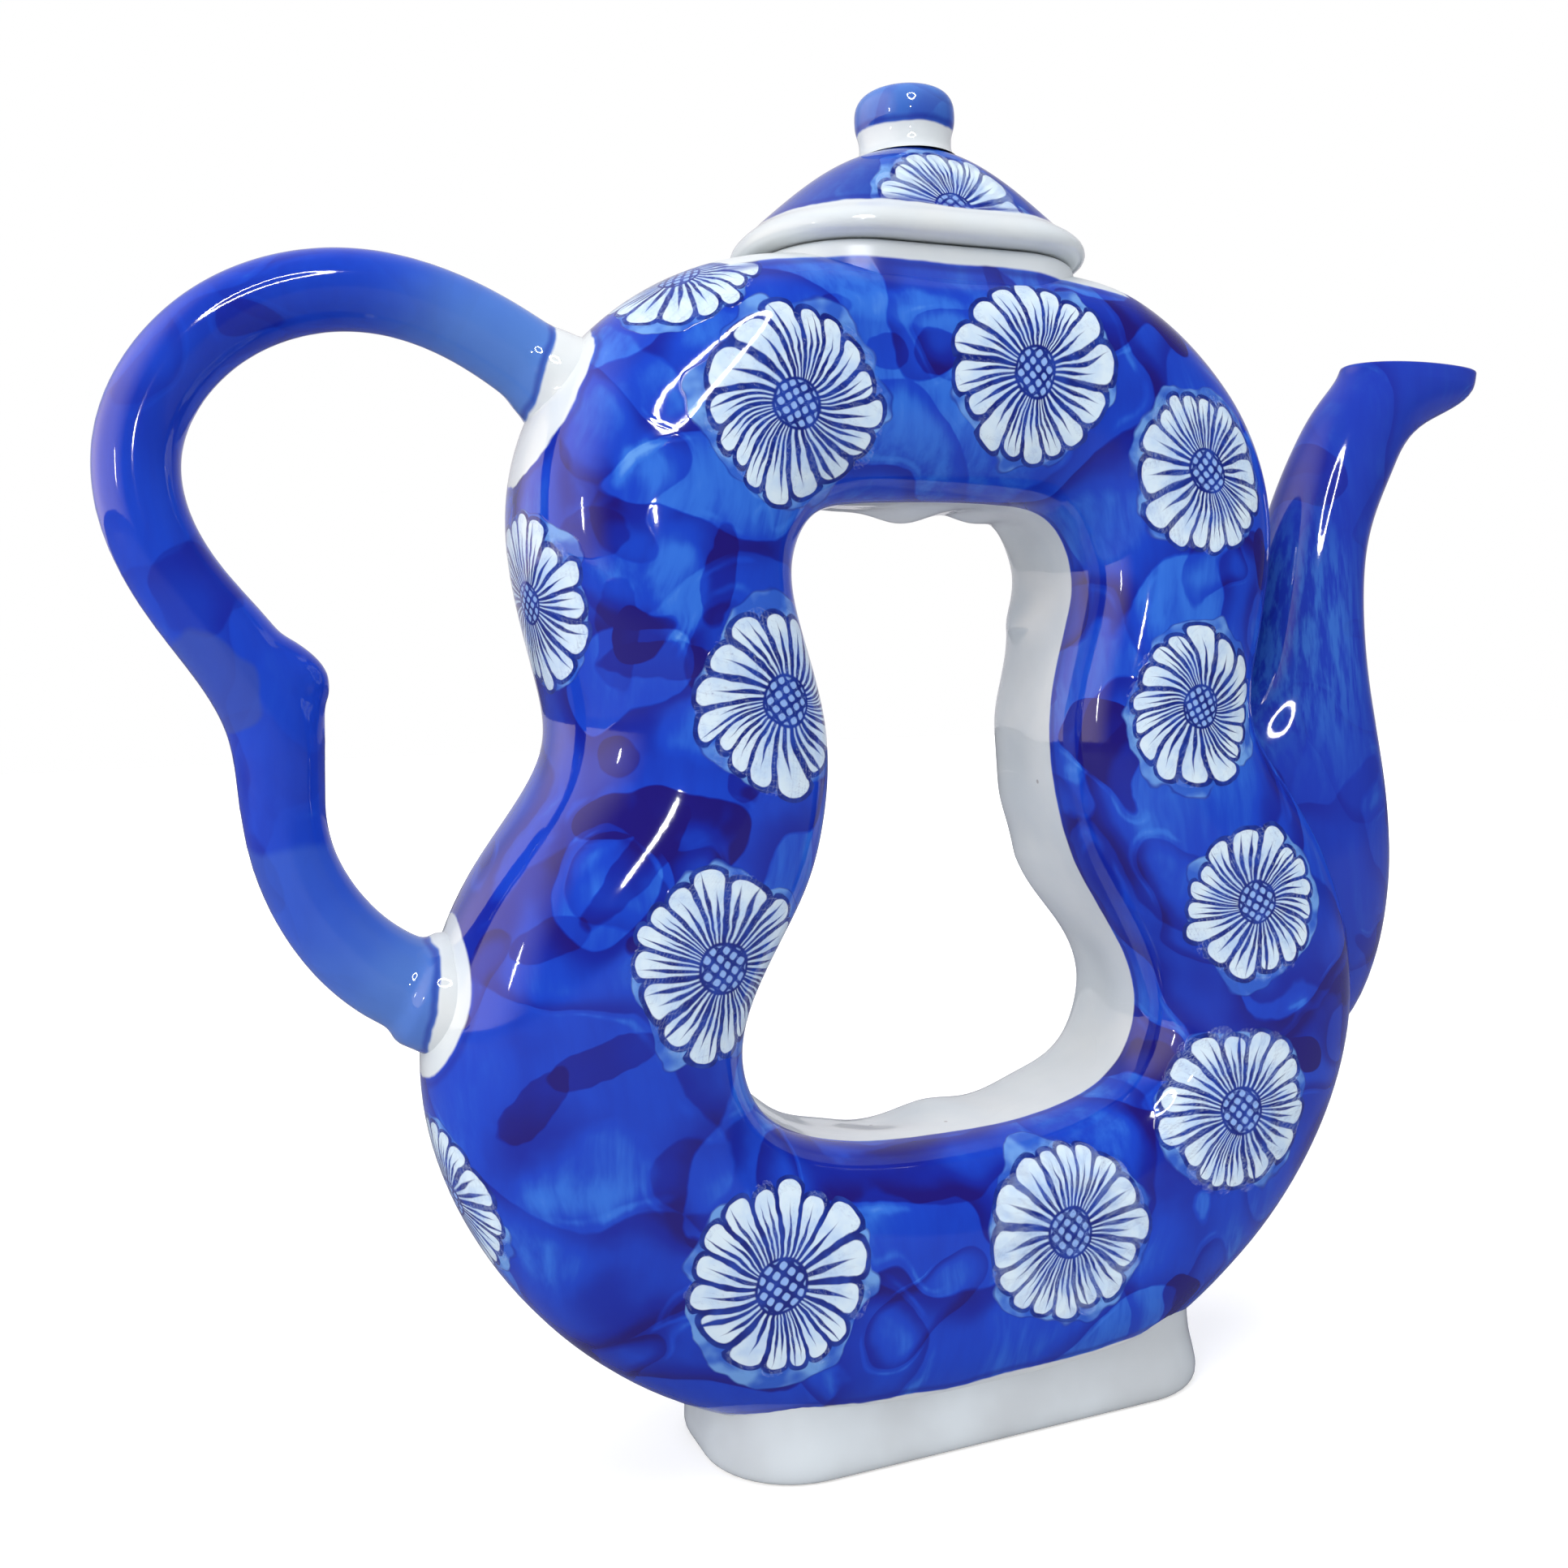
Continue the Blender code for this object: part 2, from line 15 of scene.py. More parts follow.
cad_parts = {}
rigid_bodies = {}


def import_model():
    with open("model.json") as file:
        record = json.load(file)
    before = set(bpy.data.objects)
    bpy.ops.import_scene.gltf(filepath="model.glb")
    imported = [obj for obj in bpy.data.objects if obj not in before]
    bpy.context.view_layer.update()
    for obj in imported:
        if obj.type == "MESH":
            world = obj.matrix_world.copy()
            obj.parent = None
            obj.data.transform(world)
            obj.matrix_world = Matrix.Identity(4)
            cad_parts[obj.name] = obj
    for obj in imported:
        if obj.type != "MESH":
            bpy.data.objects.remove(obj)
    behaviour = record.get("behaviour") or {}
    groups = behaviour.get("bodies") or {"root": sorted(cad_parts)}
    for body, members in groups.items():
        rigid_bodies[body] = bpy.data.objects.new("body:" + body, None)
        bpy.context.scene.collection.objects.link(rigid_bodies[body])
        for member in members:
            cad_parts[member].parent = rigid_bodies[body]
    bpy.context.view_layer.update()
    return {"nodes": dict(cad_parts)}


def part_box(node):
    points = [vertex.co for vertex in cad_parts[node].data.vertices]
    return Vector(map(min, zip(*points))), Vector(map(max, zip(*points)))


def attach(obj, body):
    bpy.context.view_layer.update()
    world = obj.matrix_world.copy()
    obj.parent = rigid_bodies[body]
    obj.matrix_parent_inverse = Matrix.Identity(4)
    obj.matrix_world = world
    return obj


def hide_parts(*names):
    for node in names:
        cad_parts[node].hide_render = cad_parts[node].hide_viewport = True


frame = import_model()

# ---- the pot's shape

# Outline of the body and of the window: right half, from top centre to bottom centre, as (x, z)
BODY_OUTLINE = (
    (0.0, 0.1965), (0.026, 0.1965), (0.0455, 0.191), (0.0628, 0.1755), (0.0697, 0.1535), (0.066, 0.129),
    (0.0655, 0.1185), (0.0782, 0.0985), (0.087, 0.066), (0.0757, 0.0345), (0.0445, 0.0085), (0.0, 0.002),
)
WINDOW_OUTLINE = (
    (0.0, 0.1568), (0.0125, 0.1565), (0.0225, 0.154), (0.027, 0.1455), (0.0257, 0.1355), (0.022, 0.120),
    (0.0227, 0.106), (0.0267, 0.0935), (0.038, 0.0705), (0.0335, 0.057), (0.017, 0.0505), (0.0, 0.0495),
)
CREST = 0.0215
WINDOW_HALF = 0.0080
ROLL = 0.0165
ROLL_POWER = 2.2
SIDE_EDGE = 0.028
TOP_EDGE = 0.015
BASE_EDGE = 0.018
EDGE_POWER = 2.3
CREST_SWELL = 0.0003
WALL = 0.0038

# Handle and spout centre lines; the sizes follow the solids
HANDLE_PATH = (
    (-0.053, 0.1695, 0.0070), (-0.064, 0.1775, 0.0066), (-0.075, 0.1840, 0.0062),
    (-0.088, 0.1876, 0.0060), (-0.101, 0.1862, 0.0060), (-0.1135, 0.1790, 0.0060),
    (-0.1217, 0.1660, 0.0060), (-0.1218, 0.1540, 0.0061), (-0.1165, 0.1425, 0.0064),
    (-0.1095, 0.1325, 0.0069), (-0.1058, 0.1235, 0.0068), (-0.1053, 0.1140, 0.0062),
    (-0.1043, 0.1045, 0.0060), (-0.1010, 0.0960, 0.0063), (-0.0955, 0.0885, 0.0068),
    (-0.0880, 0.0830, 0.0073), (-0.0770, 0.0795, 0.0076),
)
HANDLE_DEPTH = 1.08
SPUR_TIP = (-0.0980, 0.1272)
SPUR_ROOT = (-0.1130, 0.1350)
SPOUT_SECTIONS = (
    (0.055, 0.114, 0.077, 0.048, 0.0150),
    (0.066, 0.122, 0.0945, 0.0635, 0.0148),
    (0.0695, 0.128, 0.1000, 0.082, 0.0137),
    (0.0717, 0.135, 0.0994, 0.102, 0.0124),
    (0.0738, 0.143, 0.0966, 0.119, 0.0113),
    (0.0765, 0.152, 0.0954, 0.136, 0.0103),
    (0.080, 0.161, 0.0975, 0.151, 0.0095),
    (0.0850, 0.171, 0.1043, 0.1645, 0.0088),
    (0.0905, 0.179, 0.1143, 0.1750, 0.0083),
    (0.0945, 0.1838, 0.1270, 0.1820, 0.0080),
    (0.0952, 0.1852, 0.1285, 0.1856, 0.0077),
)
SPOUT_WALL = 0.0030
SPOUT_BEAK = 0.45

# Chrysanthemums on the front face: x, z, radius. The back face has the same ones, turned round.
FACE_FLOWERS = (
    (-0.0290, 0.1684, 0.0160), (0.0127, 0.1754, 0.0155), (0.0464, 0.1611, 0.0150), (0.0429, 0.1211, 0.0150),
    (0.0548, 0.0873, 0.0150), (0.0497, 0.0497, 0.0160), (0.0145, 0.0345, 0.0158), (-0.0371, 0.0347, 0.0162),
    (-0.0434, 0.0848, 0.0158), (-0.0320, 0.1249, 0.0155),
)
# Chrysanthemums round the narrow sides: x, y, z, radius
SIDE_FLOWERS = (
    (-0.0680, -0.0048, 0.1410, 0.0140), (-0.0829, -0.0028, 0.0491, 0.0140), (-0.0440, -0.0090, 0.1900, 0.0130),
    (0.0480, 0.0060, 0.1870, 0.0130), (0.0829, 0.0028, 0.0400, 0.0135),
)
PETALS = 16


# ---- curves and grids


def spline(points, steps, closed=False):
    """A smooth cubic curve through the points, with the same number of steps between each two."""
    points = np.array(points, float)
    count = len(points)
    ahead = np.roll(points, -1, axis=0)
    spans = np.linalg.norm((ahead - points)[:, :2], axis=1) ** 0.75
    system = np.eye(count)
    target = np.zeros_like(points)
    for i in range(0 if closed else 1, count if closed else count - 1):
        after = (i + 1) % count
        system[i] = 0.0
        system[i, i - 1] = spans[i - 1]
        system[i, i] = 2 * (spans[i - 1] + spans[i])
        system[i, after] = spans[i]
        target[i] = 6 * ((points[after] - points[i]) / spans[i] - (points[i] - points[i - 1]) / spans[i - 1])
    bend = np.linalg.solve(system, target)
    curve = []
    for i in range(count if closed else count - 1):
        after = (i + 1) % count
        span = spans[i]
        slope = (points[after] - points[i]) / span - span * (2 * bend[i] + bend[after]) / 6
        cubic = (bend[after] - bend[i]) / (6 * span)
        for step in range(steps):
            u = span * step / steps
            curve.append(points[i] + slope * u + bend[i] / 2 * u**2 + cubic * u**3)
    if not closed:
        curve.append(points[-1])
    return np.array(curve)


def mirrored(right_half):
    return list(right_half) + [(-x, z) for x, z in reversed(right_half[1:-1])]


def rounded_rectangle(width, depth, radius, steps=14):
    radius = min(radius, width / 2 - 1e-5, depth / 2 - 1e-5)
    points = []
    for quarter, (sx, sy) in enumerate(((1, 1), (-1, 1), (-1, -1), (1, -1))):
        for step in range(steps + 1):
            angle = math.pi / 2 * (quarter + step / steps)
            x = sx * (width / 2 - radius) + radius * math.cos(angle)
            points.append((x, sy * (depth / 2 - radius) + radius * math.sin(angle)))
    return points


def even_loop(points, count):
    """The closed loop of (x, y) points, sampled again at even steps."""
    loop = np.array(points + points[:1])
    run = np.concatenate([[0], np.cumsum(np.linalg.norm(np.diff(loop, axis=0), axis=1))])
    at = np.linspace(0, run[-1], count, endpoint=False)
    return np.stack([np.interp(at, run, loop[:, k]) for k in (0, 1)], axis=1)


def smooth_step(x):
    x = np.clip(x, 0.0, 1.0)
    return x * x * (3 - 2 * x)


def grid_normals(grid, wrap_rows=False, wrap_columns=True):
    """Unit normals of a grid of points, rows by columns, from its neighbours."""

    def slope(axis, wrap):
        if wrap:
            return np.roll(grid, -1, axis) - np.roll(grid, 1, axis)
        return np.gradient(grid, axis=axis)

    normal = np.cross(slope(0, wrap_rows), slope(1, wrap_columns))
    length = np.linalg.norm(normal, axis=2, keepdims=True)
    return normal / np.maximum(length, 1e-12)


def new_object(name, points, faces, material=None):
    mesh = bpy.data.meshes.new(name)
    mesh.from_pydata([tuple(p) for p in points], [], [tuple(f) for f in faces])
    mesh.shade_smooth()
    obj = bpy.data.objects.new(name, mesh)
    bpy.context.scene.collection.objects.link(obj)
    if material is not None:
        mesh.materials.append(material)
    return obj


def grid_faces(rows, columns, wrap_rows=False, wrap_columns=True, start=0):
    faces = []
    for i in range(rows if wrap_rows else rows - 1):
        for j in range(columns if wrap_columns else columns - 1):
            a = i * columns + j
            b = i * columns + (j + 1) % columns
            down = (i + 1) % rows * columns
            faces.append((start + a, start + b, start + down + (j + 1) % columns, start + down + j))
    return faces


def face_outwards(obj):
    """Turns the faces so that the enclosed volume is positive."""
    mesh = obj.data
    mesh.calc_loop_triangles()
    corners = np.array([[mesh.vertices[v].co for v in t.vertices] for t in mesh.loop_triangles])
    if np.linalg.det(corners).sum() < 0:
        mesh.flip_normals()


def loft(name, rows, material, cap_start=False, cap_end=False, wrap_rows=False):
    """A skin over rows of points, each row closed."""
    rows = [np.array(row) for row in rows]
    columns = len(rows[0])
    points = np.concatenate(rows)
    faces = grid_faces(len(rows), columns, wrap_rows=wrap_rows)
    if cap_start:
        faces.append(tuple(range(columns))[::-1])
    if cap_end:
        faces.append(tuple((len(rows) - 1) * columns + j for j in range(columns)))
    obj = new_object(name, points, faces, material)
    face_outwards(obj)
    return obj


# ---- node arithmetic


class Value:
    """A socket in a node tree that takes part in arithmetic."""

    def __init__(self, net, socket):
        self.net = net
        self.socket = socket

    def __add__(self, other):
        return self.net.maths("ADD", self, other)

    __radd__ = __add__

    def __sub__(self, other):
        return self.net.maths("SUBTRACT", self, other)

    def __rsub__(self, other):
        return self.net.maths("SUBTRACT", other, self)

    def __mul__(self, other):
        return self.net.maths("MULTIPLY", self, other)

    __rmul__ = __mul__

    def __truediv__(self, other):
        return self.net.maths("DIVIDE", self, other)

    def __rtruediv__(self, other):
        return self.net.maths("DIVIDE", other, self)

    def __neg__(self):
        return self.net.maths("MULTIPLY", self, -1.0)

    def __abs__(self):
        return self.net.maths("ABSOLUTE", self)


class Net:
    """Builds a material's node tree from arithmetic on its values."""

    def __init__(self, name):
        self.material = bpy.data.materials.new(name)
        self.material.use_nodes = True
        self.tree = self.material.node_tree
        self.shader = self.tree.nodes["Principled BSDF"]

    def plug(self, value, socket):
        if isinstance(value, Value):
            self.tree.links.new(value.socket, socket)
        elif isinstance(value, (tuple, list)):
            value = tuple(value)
            socket.default_value = value + (1.0,) if len(socket.default_value) == 4 and len(value) == 3 else value
        else:
            socket.default_value = value

    def maths(self, operation, *values, clamp=False):
        node = self.tree.nodes.new("ShaderNodeMath")
        node.operation = operation
        node.use_clamp = clamp
        for value, socket in zip(values, node.inputs):
            self.plug(value, socket)
        return Value(self, node.outputs[0])

    def vector(self, operation, *values):
        node = self.tree.nodes.new("ShaderNodeVectorMath")
        node.operation = operation
        for value, socket in zip(values, node.inputs):
            self.plug(value, socket)
        return Value(self, node.outputs[1 if operation in ("LENGTH", "DISTANCE", "DOT_PRODUCT") else 0])

    def scaled(self, vector, factor):
        node = self.tree.nodes.new("ShaderNodeVectorMath")
        node.operation = "SCALE"
        self.plug(vector, node.inputs[0])
        self.plug(factor, node.inputs["Scale"])
        return Value(self, node.outputs[0])

    def join(self, x, y, z):
        node = self.tree.nodes.new("ShaderNodeCombineXYZ")
        for value, socket in zip((x, y, z), node.inputs):
            self.plug(value, socket)
        return Value(self, node.outputs[0])

    def split(self, vector):
        node = self.tree.nodes.new("ShaderNodeSeparateXYZ")
        self.plug(vector, node.inputs[0])
        return [Value(self, socket) for socket in node.outputs]

    def place(self):
        """The point on the piece, in metres, which is the pot's own frame at rest."""
        return Value(self, self.tree.nodes.new("ShaderNodeTexCoord").outputs["Object"])

    def attribute(self, name):
        node = self.tree.nodes.new("ShaderNodeAttribute")
        node.attribute_name = name
        return node

    def noise(self, vector, scale, detail=2.0, roughness=0.5, distortion=0.0):
        """Noise about 0, from -0.5 to 0.5."""
        return self.noise_node(vector, scale, detail, roughness, distortion)[0] - 0.5

    def noise_node(self, vector, scale, detail=2.0, roughness=0.5, distortion=0.0):
        node = self.tree.nodes.new("ShaderNodeTexNoise")
        self.plug(vector, node.inputs["Vector"])
        for key, value in (("Scale", scale), ("Detail", detail), ("Roughness", roughness), ("Distortion", distortion)):
            self.plug(value, node.inputs[key])
        return Value(self, node.outputs[0]), Value(self, node.outputs[1])

    def voronoi(self, vector, scale, feature="F1", output="Distance", smooth=0.5):
        node = self.tree.nodes.new("ShaderNodeTexVoronoi")
        node.feature = feature
        self.plug(vector, node.inputs["Vector"])
        self.plug(scale, node.inputs["Scale"])
        if feature == "SMOOTH_F1":
            self.plug(smooth, node.inputs["Smoothness"])
        return Value(self, node.outputs[output])

    def chance(self, vector):
        """A value from 0 to 1 that is fixed for each vector."""
        node = self.tree.nodes.new("ShaderNodeTexWhiteNoise")
        self.plug(vector, node.inputs["Vector"])
        return Value(self, node.outputs["Value"])

    def ramp(self, value, low, high):
        """0 below low, 1 above high, smooth between; high may be the lower one."""
        node = self.tree.nodes.new("ShaderNodeMapRange")
        node.interpolation_type = "SMOOTHSTEP"
        for key, item in (("Value", value), ("From Min", low), ("From Max", high), ("To Min", 0.0), ("To Max", 1.0)):
            self.plug(item, node.inputs[key])
        return Value(self, node.outputs[0])

    def blend(self, factor, first, second, mode="MIX"):
        """Colour between first and second."""
        node = self.tree.nodes.new("ShaderNodeMix")
        node.data_type = "RGBA"
        node.blend_type = mode
        self.plug(factor, node.inputs[0])
        self.plug(first, node.inputs[6])
        self.plug(second, node.inputs[7])
        return Value(self, node.outputs[2])

    def most(self, first, *others):
        for other in others:
            first = self.maths("MAXIMUM", first, other)
        return first

    def least(self, first, *others):
        for other in others:
            first = self.maths("MINIMUM", first, other)
        return first

    def bump(self, height, distance, strength=1.0, normal=None):
        node = self.tree.nodes.new("ShaderNodeBump")
        self.plug(strength, node.inputs["Strength"])
        self.plug(distance, node.inputs["Distance"])
        self.plug(height, node.inputs["Height"])
        if normal is not None:
            self.plug(normal, node.inputs["Normal"])
        return Value(self, node.outputs[0])

    def set(self, **values):
        for key, value in values.items():
            self.plug(value, self.shader.inputs[key.replace("_", " ")])


# ---- the paint

DARKEST_COBALT = (0.012, 0.007, 0.150)
DARK_COBALT = (0.008, 0.018, 0.285)
COBALT = (0.010, 0.050, 0.470)
LIGHT_COBALT = (0.030, 0.140, 0.600)
PALE_COBALT = (0.110, 0.290, 0.700)
LINE_BLUE = (0.008, 0.016, 0.170)
PETAL_WHITE = (0.66, 0.78, 0.88)
WHITE_GLAZE = (0.70, 0.72, 0.72)
WASHES = (
    # shift, scale per metre, level of its border, width of the pooled edge, depth of the pool, own tone
    ((0.31, 0.17, 0.53), 27.0, 0.03, 0.090, 0.40, 0.12),
    ((1.73, 0.61, 0.29), 34.0, -0.05, 0.110, 0.36, -0.10),
    ((2.37, 1.19, 0.83), 47.0, 0.10, 0.080, 0.34, 0.08),
    ((3.11, 2.03, 1.47), 52.0, 0.17, 0.500, 0.42, -0.14),
)


def cobalt_wash(net, place, lighter=0.0, fineness=1.0, contrast=1.0):
    """Cobalt laid on with a loaded brush: washes over each other, each with a dark pool at its border."""
    drift = net.vector("SUBTRACT", net.noise_node(place, 30.0, 2.0)[1], (0.5, 0.5, 0.5))
    warped = net.vector("ADD", place, net.scaled(drift, 0.016))
    ragged = net.noise(place, 300.0, 1.0) * 0.014
    ragged_gap = net.noise(place, 85.0, 1.0)
    brushed = net.noise(net.vector("MULTIPLY", warped, (330.0, 330.0, 46.0)), 1.0, 3.0, 0.6)
    tone = net.noise(warped, 20.0 * fineness, 2.0) * 0.95 + net.noise(warped, 62.0 * fineness, 2.0) * 0.42
    tone = tone * contrast + lighter + 0.45
    for shift, scale, level, width, depth, own in WASHES:
        field = net.noise(net.vector("ADD", warped, shift), scale * fineness, 0.6) + ragged
        inside = net.ramp(field, level, level + 0.010)
        pool = inside * net.ramp(field, level + width, level)
        sliver = net.ramp(abs(field - level + 0.016), 0.014, 0.0) * net.ramp(ragged_gap, 0.02, 0.14)
        tone = tone + (inside * own - pool * depth + sliver * 0.20) * contrast
    tone = tone + brushed * net.ramp(tone, 0.10, 0.70) * 0.80
    colour = net.blend(net.ramp(tone, -0.25, 0.08), DARKEST_COBALT, DARK_COBALT)
    colour = net.blend(net.ramp(tone, 0.02, 0.42), colour, COBALT)
    colour = net.blend(net.ramp(tone, 0.38, 0.80), colour, LIGHT_COBALT)
    colour = net.blend(net.ramp(tone, 0.78, 1.20), colour, PALE_COBALT)
    return colour, tone


def chrysanthemum(net, ground):
    """Paints the nearest flower over the ground colour. Its coordinates come with each face corner."""
    node = net.attribute("flower")
    u, v, seed = net.split(Value(net, node.outputs["Vector"]))
    present = net.maths("GREATER_THAN", seed, 0.5)
    near = net.join(u, v, seed * 7.31)
    u = u + net.noise(near, 1.4, 1.0) * 0.17 + net.noise(near, 8.0, 1.0) * 0.030
    v = v + net.noise(net.vector("ADD", near, (5.2, 1.3, 8.1)), 1.4, 1.0) * 0.17
    radius = net.maths("SQRT", u * u + v * v)
    swirl = net.chance(net.join(seed, 3.0, 1.0)) - 0.5
    angle = net.maths("ARCTAN2", v, u) + swirl * (radius - 0.3) * 1.1
    angle = angle + net.maths("SINE", angle * 2.0 + seed * 5.0) * 0.13
    angle = angle + net.maths("SINE", angle * 3.0 + seed * 2.0) * 0.06
    turn = net.maths("FLOORED_MODULO", angle * (PETALS / math.tau) + seed * 0.37, float(PETALS))
    index = net.maths("FLOOR", turn)
    across = turn - index - 0.5
    chance = net.chance(net.join(index, seed, 0.5))
    chance_two = net.chance(net.join(index, seed, 4.5))
    pitch = radius * (math.tau / PETALS)
    length = chance * 0.14 + 0.86
    tip = net.maths("MAXIMUM", (radius - (length - 0.15)) / 0.15, 0.0)
    wide = net.maths("POWER", abs(across) * 2.0, 2.4) + net.maths("POWER", tip, 2.4)
    clear = (1.0 - net.maths("POWER", wide, 1 / 2.4)) * pitch * 0.5
    pen = net.least(net.noise(near, 7.0, 2.0) * 0.024 + 0.028, pitch * 0.15)
    petal = net.ramp(clear - pen, -0.006, 0.007) * net.ramp(radius, 0.25, 0.28)
    outline = net.ramp(clear, -0.040, -0.024)
    side = net.maths("SIGN", across)
    paired = net.maths("GREATER_THAN", chance_two, 0.42)
    vein_place = (chance_two * 0.05 + 0.13) * paired
    vein_end = chance_two * 0.16 + 0.72 + side * (chance - 0.5) * 0.26 * paired
    taper = net.maths("MINIMUM", (vein_end - radius) / 0.30, 1.0)
    vein_width = net.least(taper * 0.0240, pitch * (0.150 - paired * 0.060))
    vein_gap = abs(abs(across) - vein_place) * pitch
    vein = net.ramp(vein_width - vein_gap, -0.006, 0.007)
    petal = petal * (1.0 - vein)

    spread = net.noise(net.join(u, v, seed * 3.7), 1.2, 2.0) * 0.95 + 0.97
    halo = net.ramp(radius - spread, 0.012, -0.012)
    halo_line = net.ramp(abs(radius - spread), 0.028, 0.008) * net.ramp(spread, 0.90, 1.0)
    halo_tone = net.blend(net.ramp(net.noise(near, 2.6, 2.0), -0.1, 0.12), (0.03, 0.11, 0.52), (0.16, 0.35, 0.70))
    colour = net.blend(halo * 0.85, ground, halo_tone)
    colour = net.blend(halo_line * 0.7, colour, DARK_COBALT)
    ink = net.blend(net.ramp(net.noise(near, 5.0, 2.0), -0.2, 0.25), LINE_BLUE, (0.018, 0.050, 0.33))
    colour = net.blend(outline, colour, ink)
    shade = net.ramp(radius, 0.95, 0.25) * 0.30 + net.noise(near, 5.0, 3.0) * 0.9
    white = net.blend(net.ramp(shade, -0.15, 0.45), (0.64, 0.75, 0.83), (0.42, 0.57, 0.78))
    colour = net.blend(petal, colour, white)

    turned_u = (u + v) * 0.707
    turned_v = (v - u) * 0.707
    lean = swirl * 0.8
    cell_u = net.maths("FRACT", (turned_u + turned_v * lean) / 0.104 + 20.0) - 0.5
    cell_v = net.maths("FRACT", (turned_v - turned_u * lean) / 0.104 + 20.5) - 0.5
    corner = net.maths("POWER", net.maths("POWER", abs(cell_u), 3.0) + net.maths("POWER", abs(cell_v), 3.0), 1 / 3)
    square = net.ramp(corner, 0.40, 0.28) * net.ramp(radius, 0.245, 0.225)
    heart = net.ramp(radius, 0.272, 0.255)
    colour = net.blend(heart, colour, ink)
    colour = net.blend(square, colour, (0.25, 0.40, 0.74))
    flower = net.most(halo, outline, heart) * present
    return net.blend(flower, ground, colour), flower


def glaze_over(net, place, colour, relief=None, roughness=0.055):
    """A thick clear glaze: glassy, with a hand-made waviness and faint pits."""
    wave = net.noise(place, 30.0, 1.0)
    pits = net.noise(place, 900.0, 2.0)
    height = wave * 0.0008 + pits * 0.0000045
    if relief is not None:
        height = height + relief
    net.set(Base_Color=colour, Roughness=net.noise(place, 60.0, 2.0) * 0.04 + roughness, Metallic=0.0)
    net.set(IOR=1.5)
    net.plug(net.bump(height, 1.0), net.shader.inputs["Normal"])
    return net.material


def white_porcelain(net, place, shade=WHITE_GLAZE):
    """Bluish white glaze with a few iron specks and faint grey clouds."""
    cloud = net.noise(place, 45.0, 3.0)
    colour = net.blend(net.ramp(cloud, -0.22, 0.25), (0.60, 0.645, 0.675), shade)
    speck = net.voronoi(place, 160.0)
    rare = net.maths("GREATER_THAN", net.chance(net.voronoi(place, 160.0, output="Position")), 0.93)
    return net.blend(net.ramp(speck, 0.075, 0.045) * rare * 0.5, colour, (0.16, 0.12, 0.11))


# Single touches of the brush on the front, in mm and degrees:
# x, z, half length, half width, slant, change of tone
DABS = (
    (-60, 150, 5, 4, 0, -0.24), (-43, 143, 8, 3, 80, -0.38), (-58, 136, 9, 3, 90, -0.22), (-51, 131, 9, 3, -5, -0.30),
    (-58, 117, 3, 3, 0, -0.30), (-40, 112, 3, 3, 0, -0.28), (-14, 178, 4, 3, 0, -0.28), (-6, 178, 4, 4, 0, -0.34),
    (-57, 101, 13, 3, 45, -0.34), (-70, 91, 6, 3, 20, -0.28), (-62, 73, 10, 3, 18, -0.36), (-74, 66, 7, 3, 50, -0.32),
    (-49, 142, 9, 6, 90, 0.34), (-53, 158, 9, 6, 90, 0.30), (-46, 121, 9, 6, 0, 0.30), (-62, 106, 10, 4, 50, 0.26),
    (-50, 101, 9, 6, 45, 0.34), (-65, 56, 12, 8, 0, 0.26), (-10, 185, 13, 4, 0, 0.26),
)


def dab_tone(net, place):
    """Darker touches have a sharp border and lighter ones a soft one."""
    x, y, z = net.split(place)
    ragged = net.noise(place, 150.0, 2.0) * 0.9
    tone = 0.0
    for middle_x, middle_z, half_length, half_width, slant, change in DABS:
        cosine, sine = math.cos(math.radians(slant)), math.sin(math.radians(slant))
        aside, above = x * 1000.0 - middle_x, z * 1000.0 - middle_z
        along = (aside * cosine + above * sine) / half_length
        across = (above * cosine - aside * sine) / half_width
        reach = net.maths("SQRT", across * across + along * along) + ragged
        tone = net.ramp(reach, 1.0, 0.88 if change < 0 else 0.50) * change + tone
    return tone * net.ramp(y, 0.0, -0.006)


def outside_outline(net, across, y, node, inset, radius):
    """Distance outside a rounded rectangle set in from a CAD piece's sides, seen from above."""
    low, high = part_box(node)
    far_x = net.maths("MAXIMUM", abs(across) - ((high.x - low.x) / 2 - inset - radius), 0.0)
    far_y = net.maths("MAXIMUM", abs(y) - ((high.y - low.y) / 2 - inset - radius), 0.0)
    return net.maths("MAXIMUM", net.maths("SQRT", far_x * far_x + far_y * far_y) - radius, 0.0)


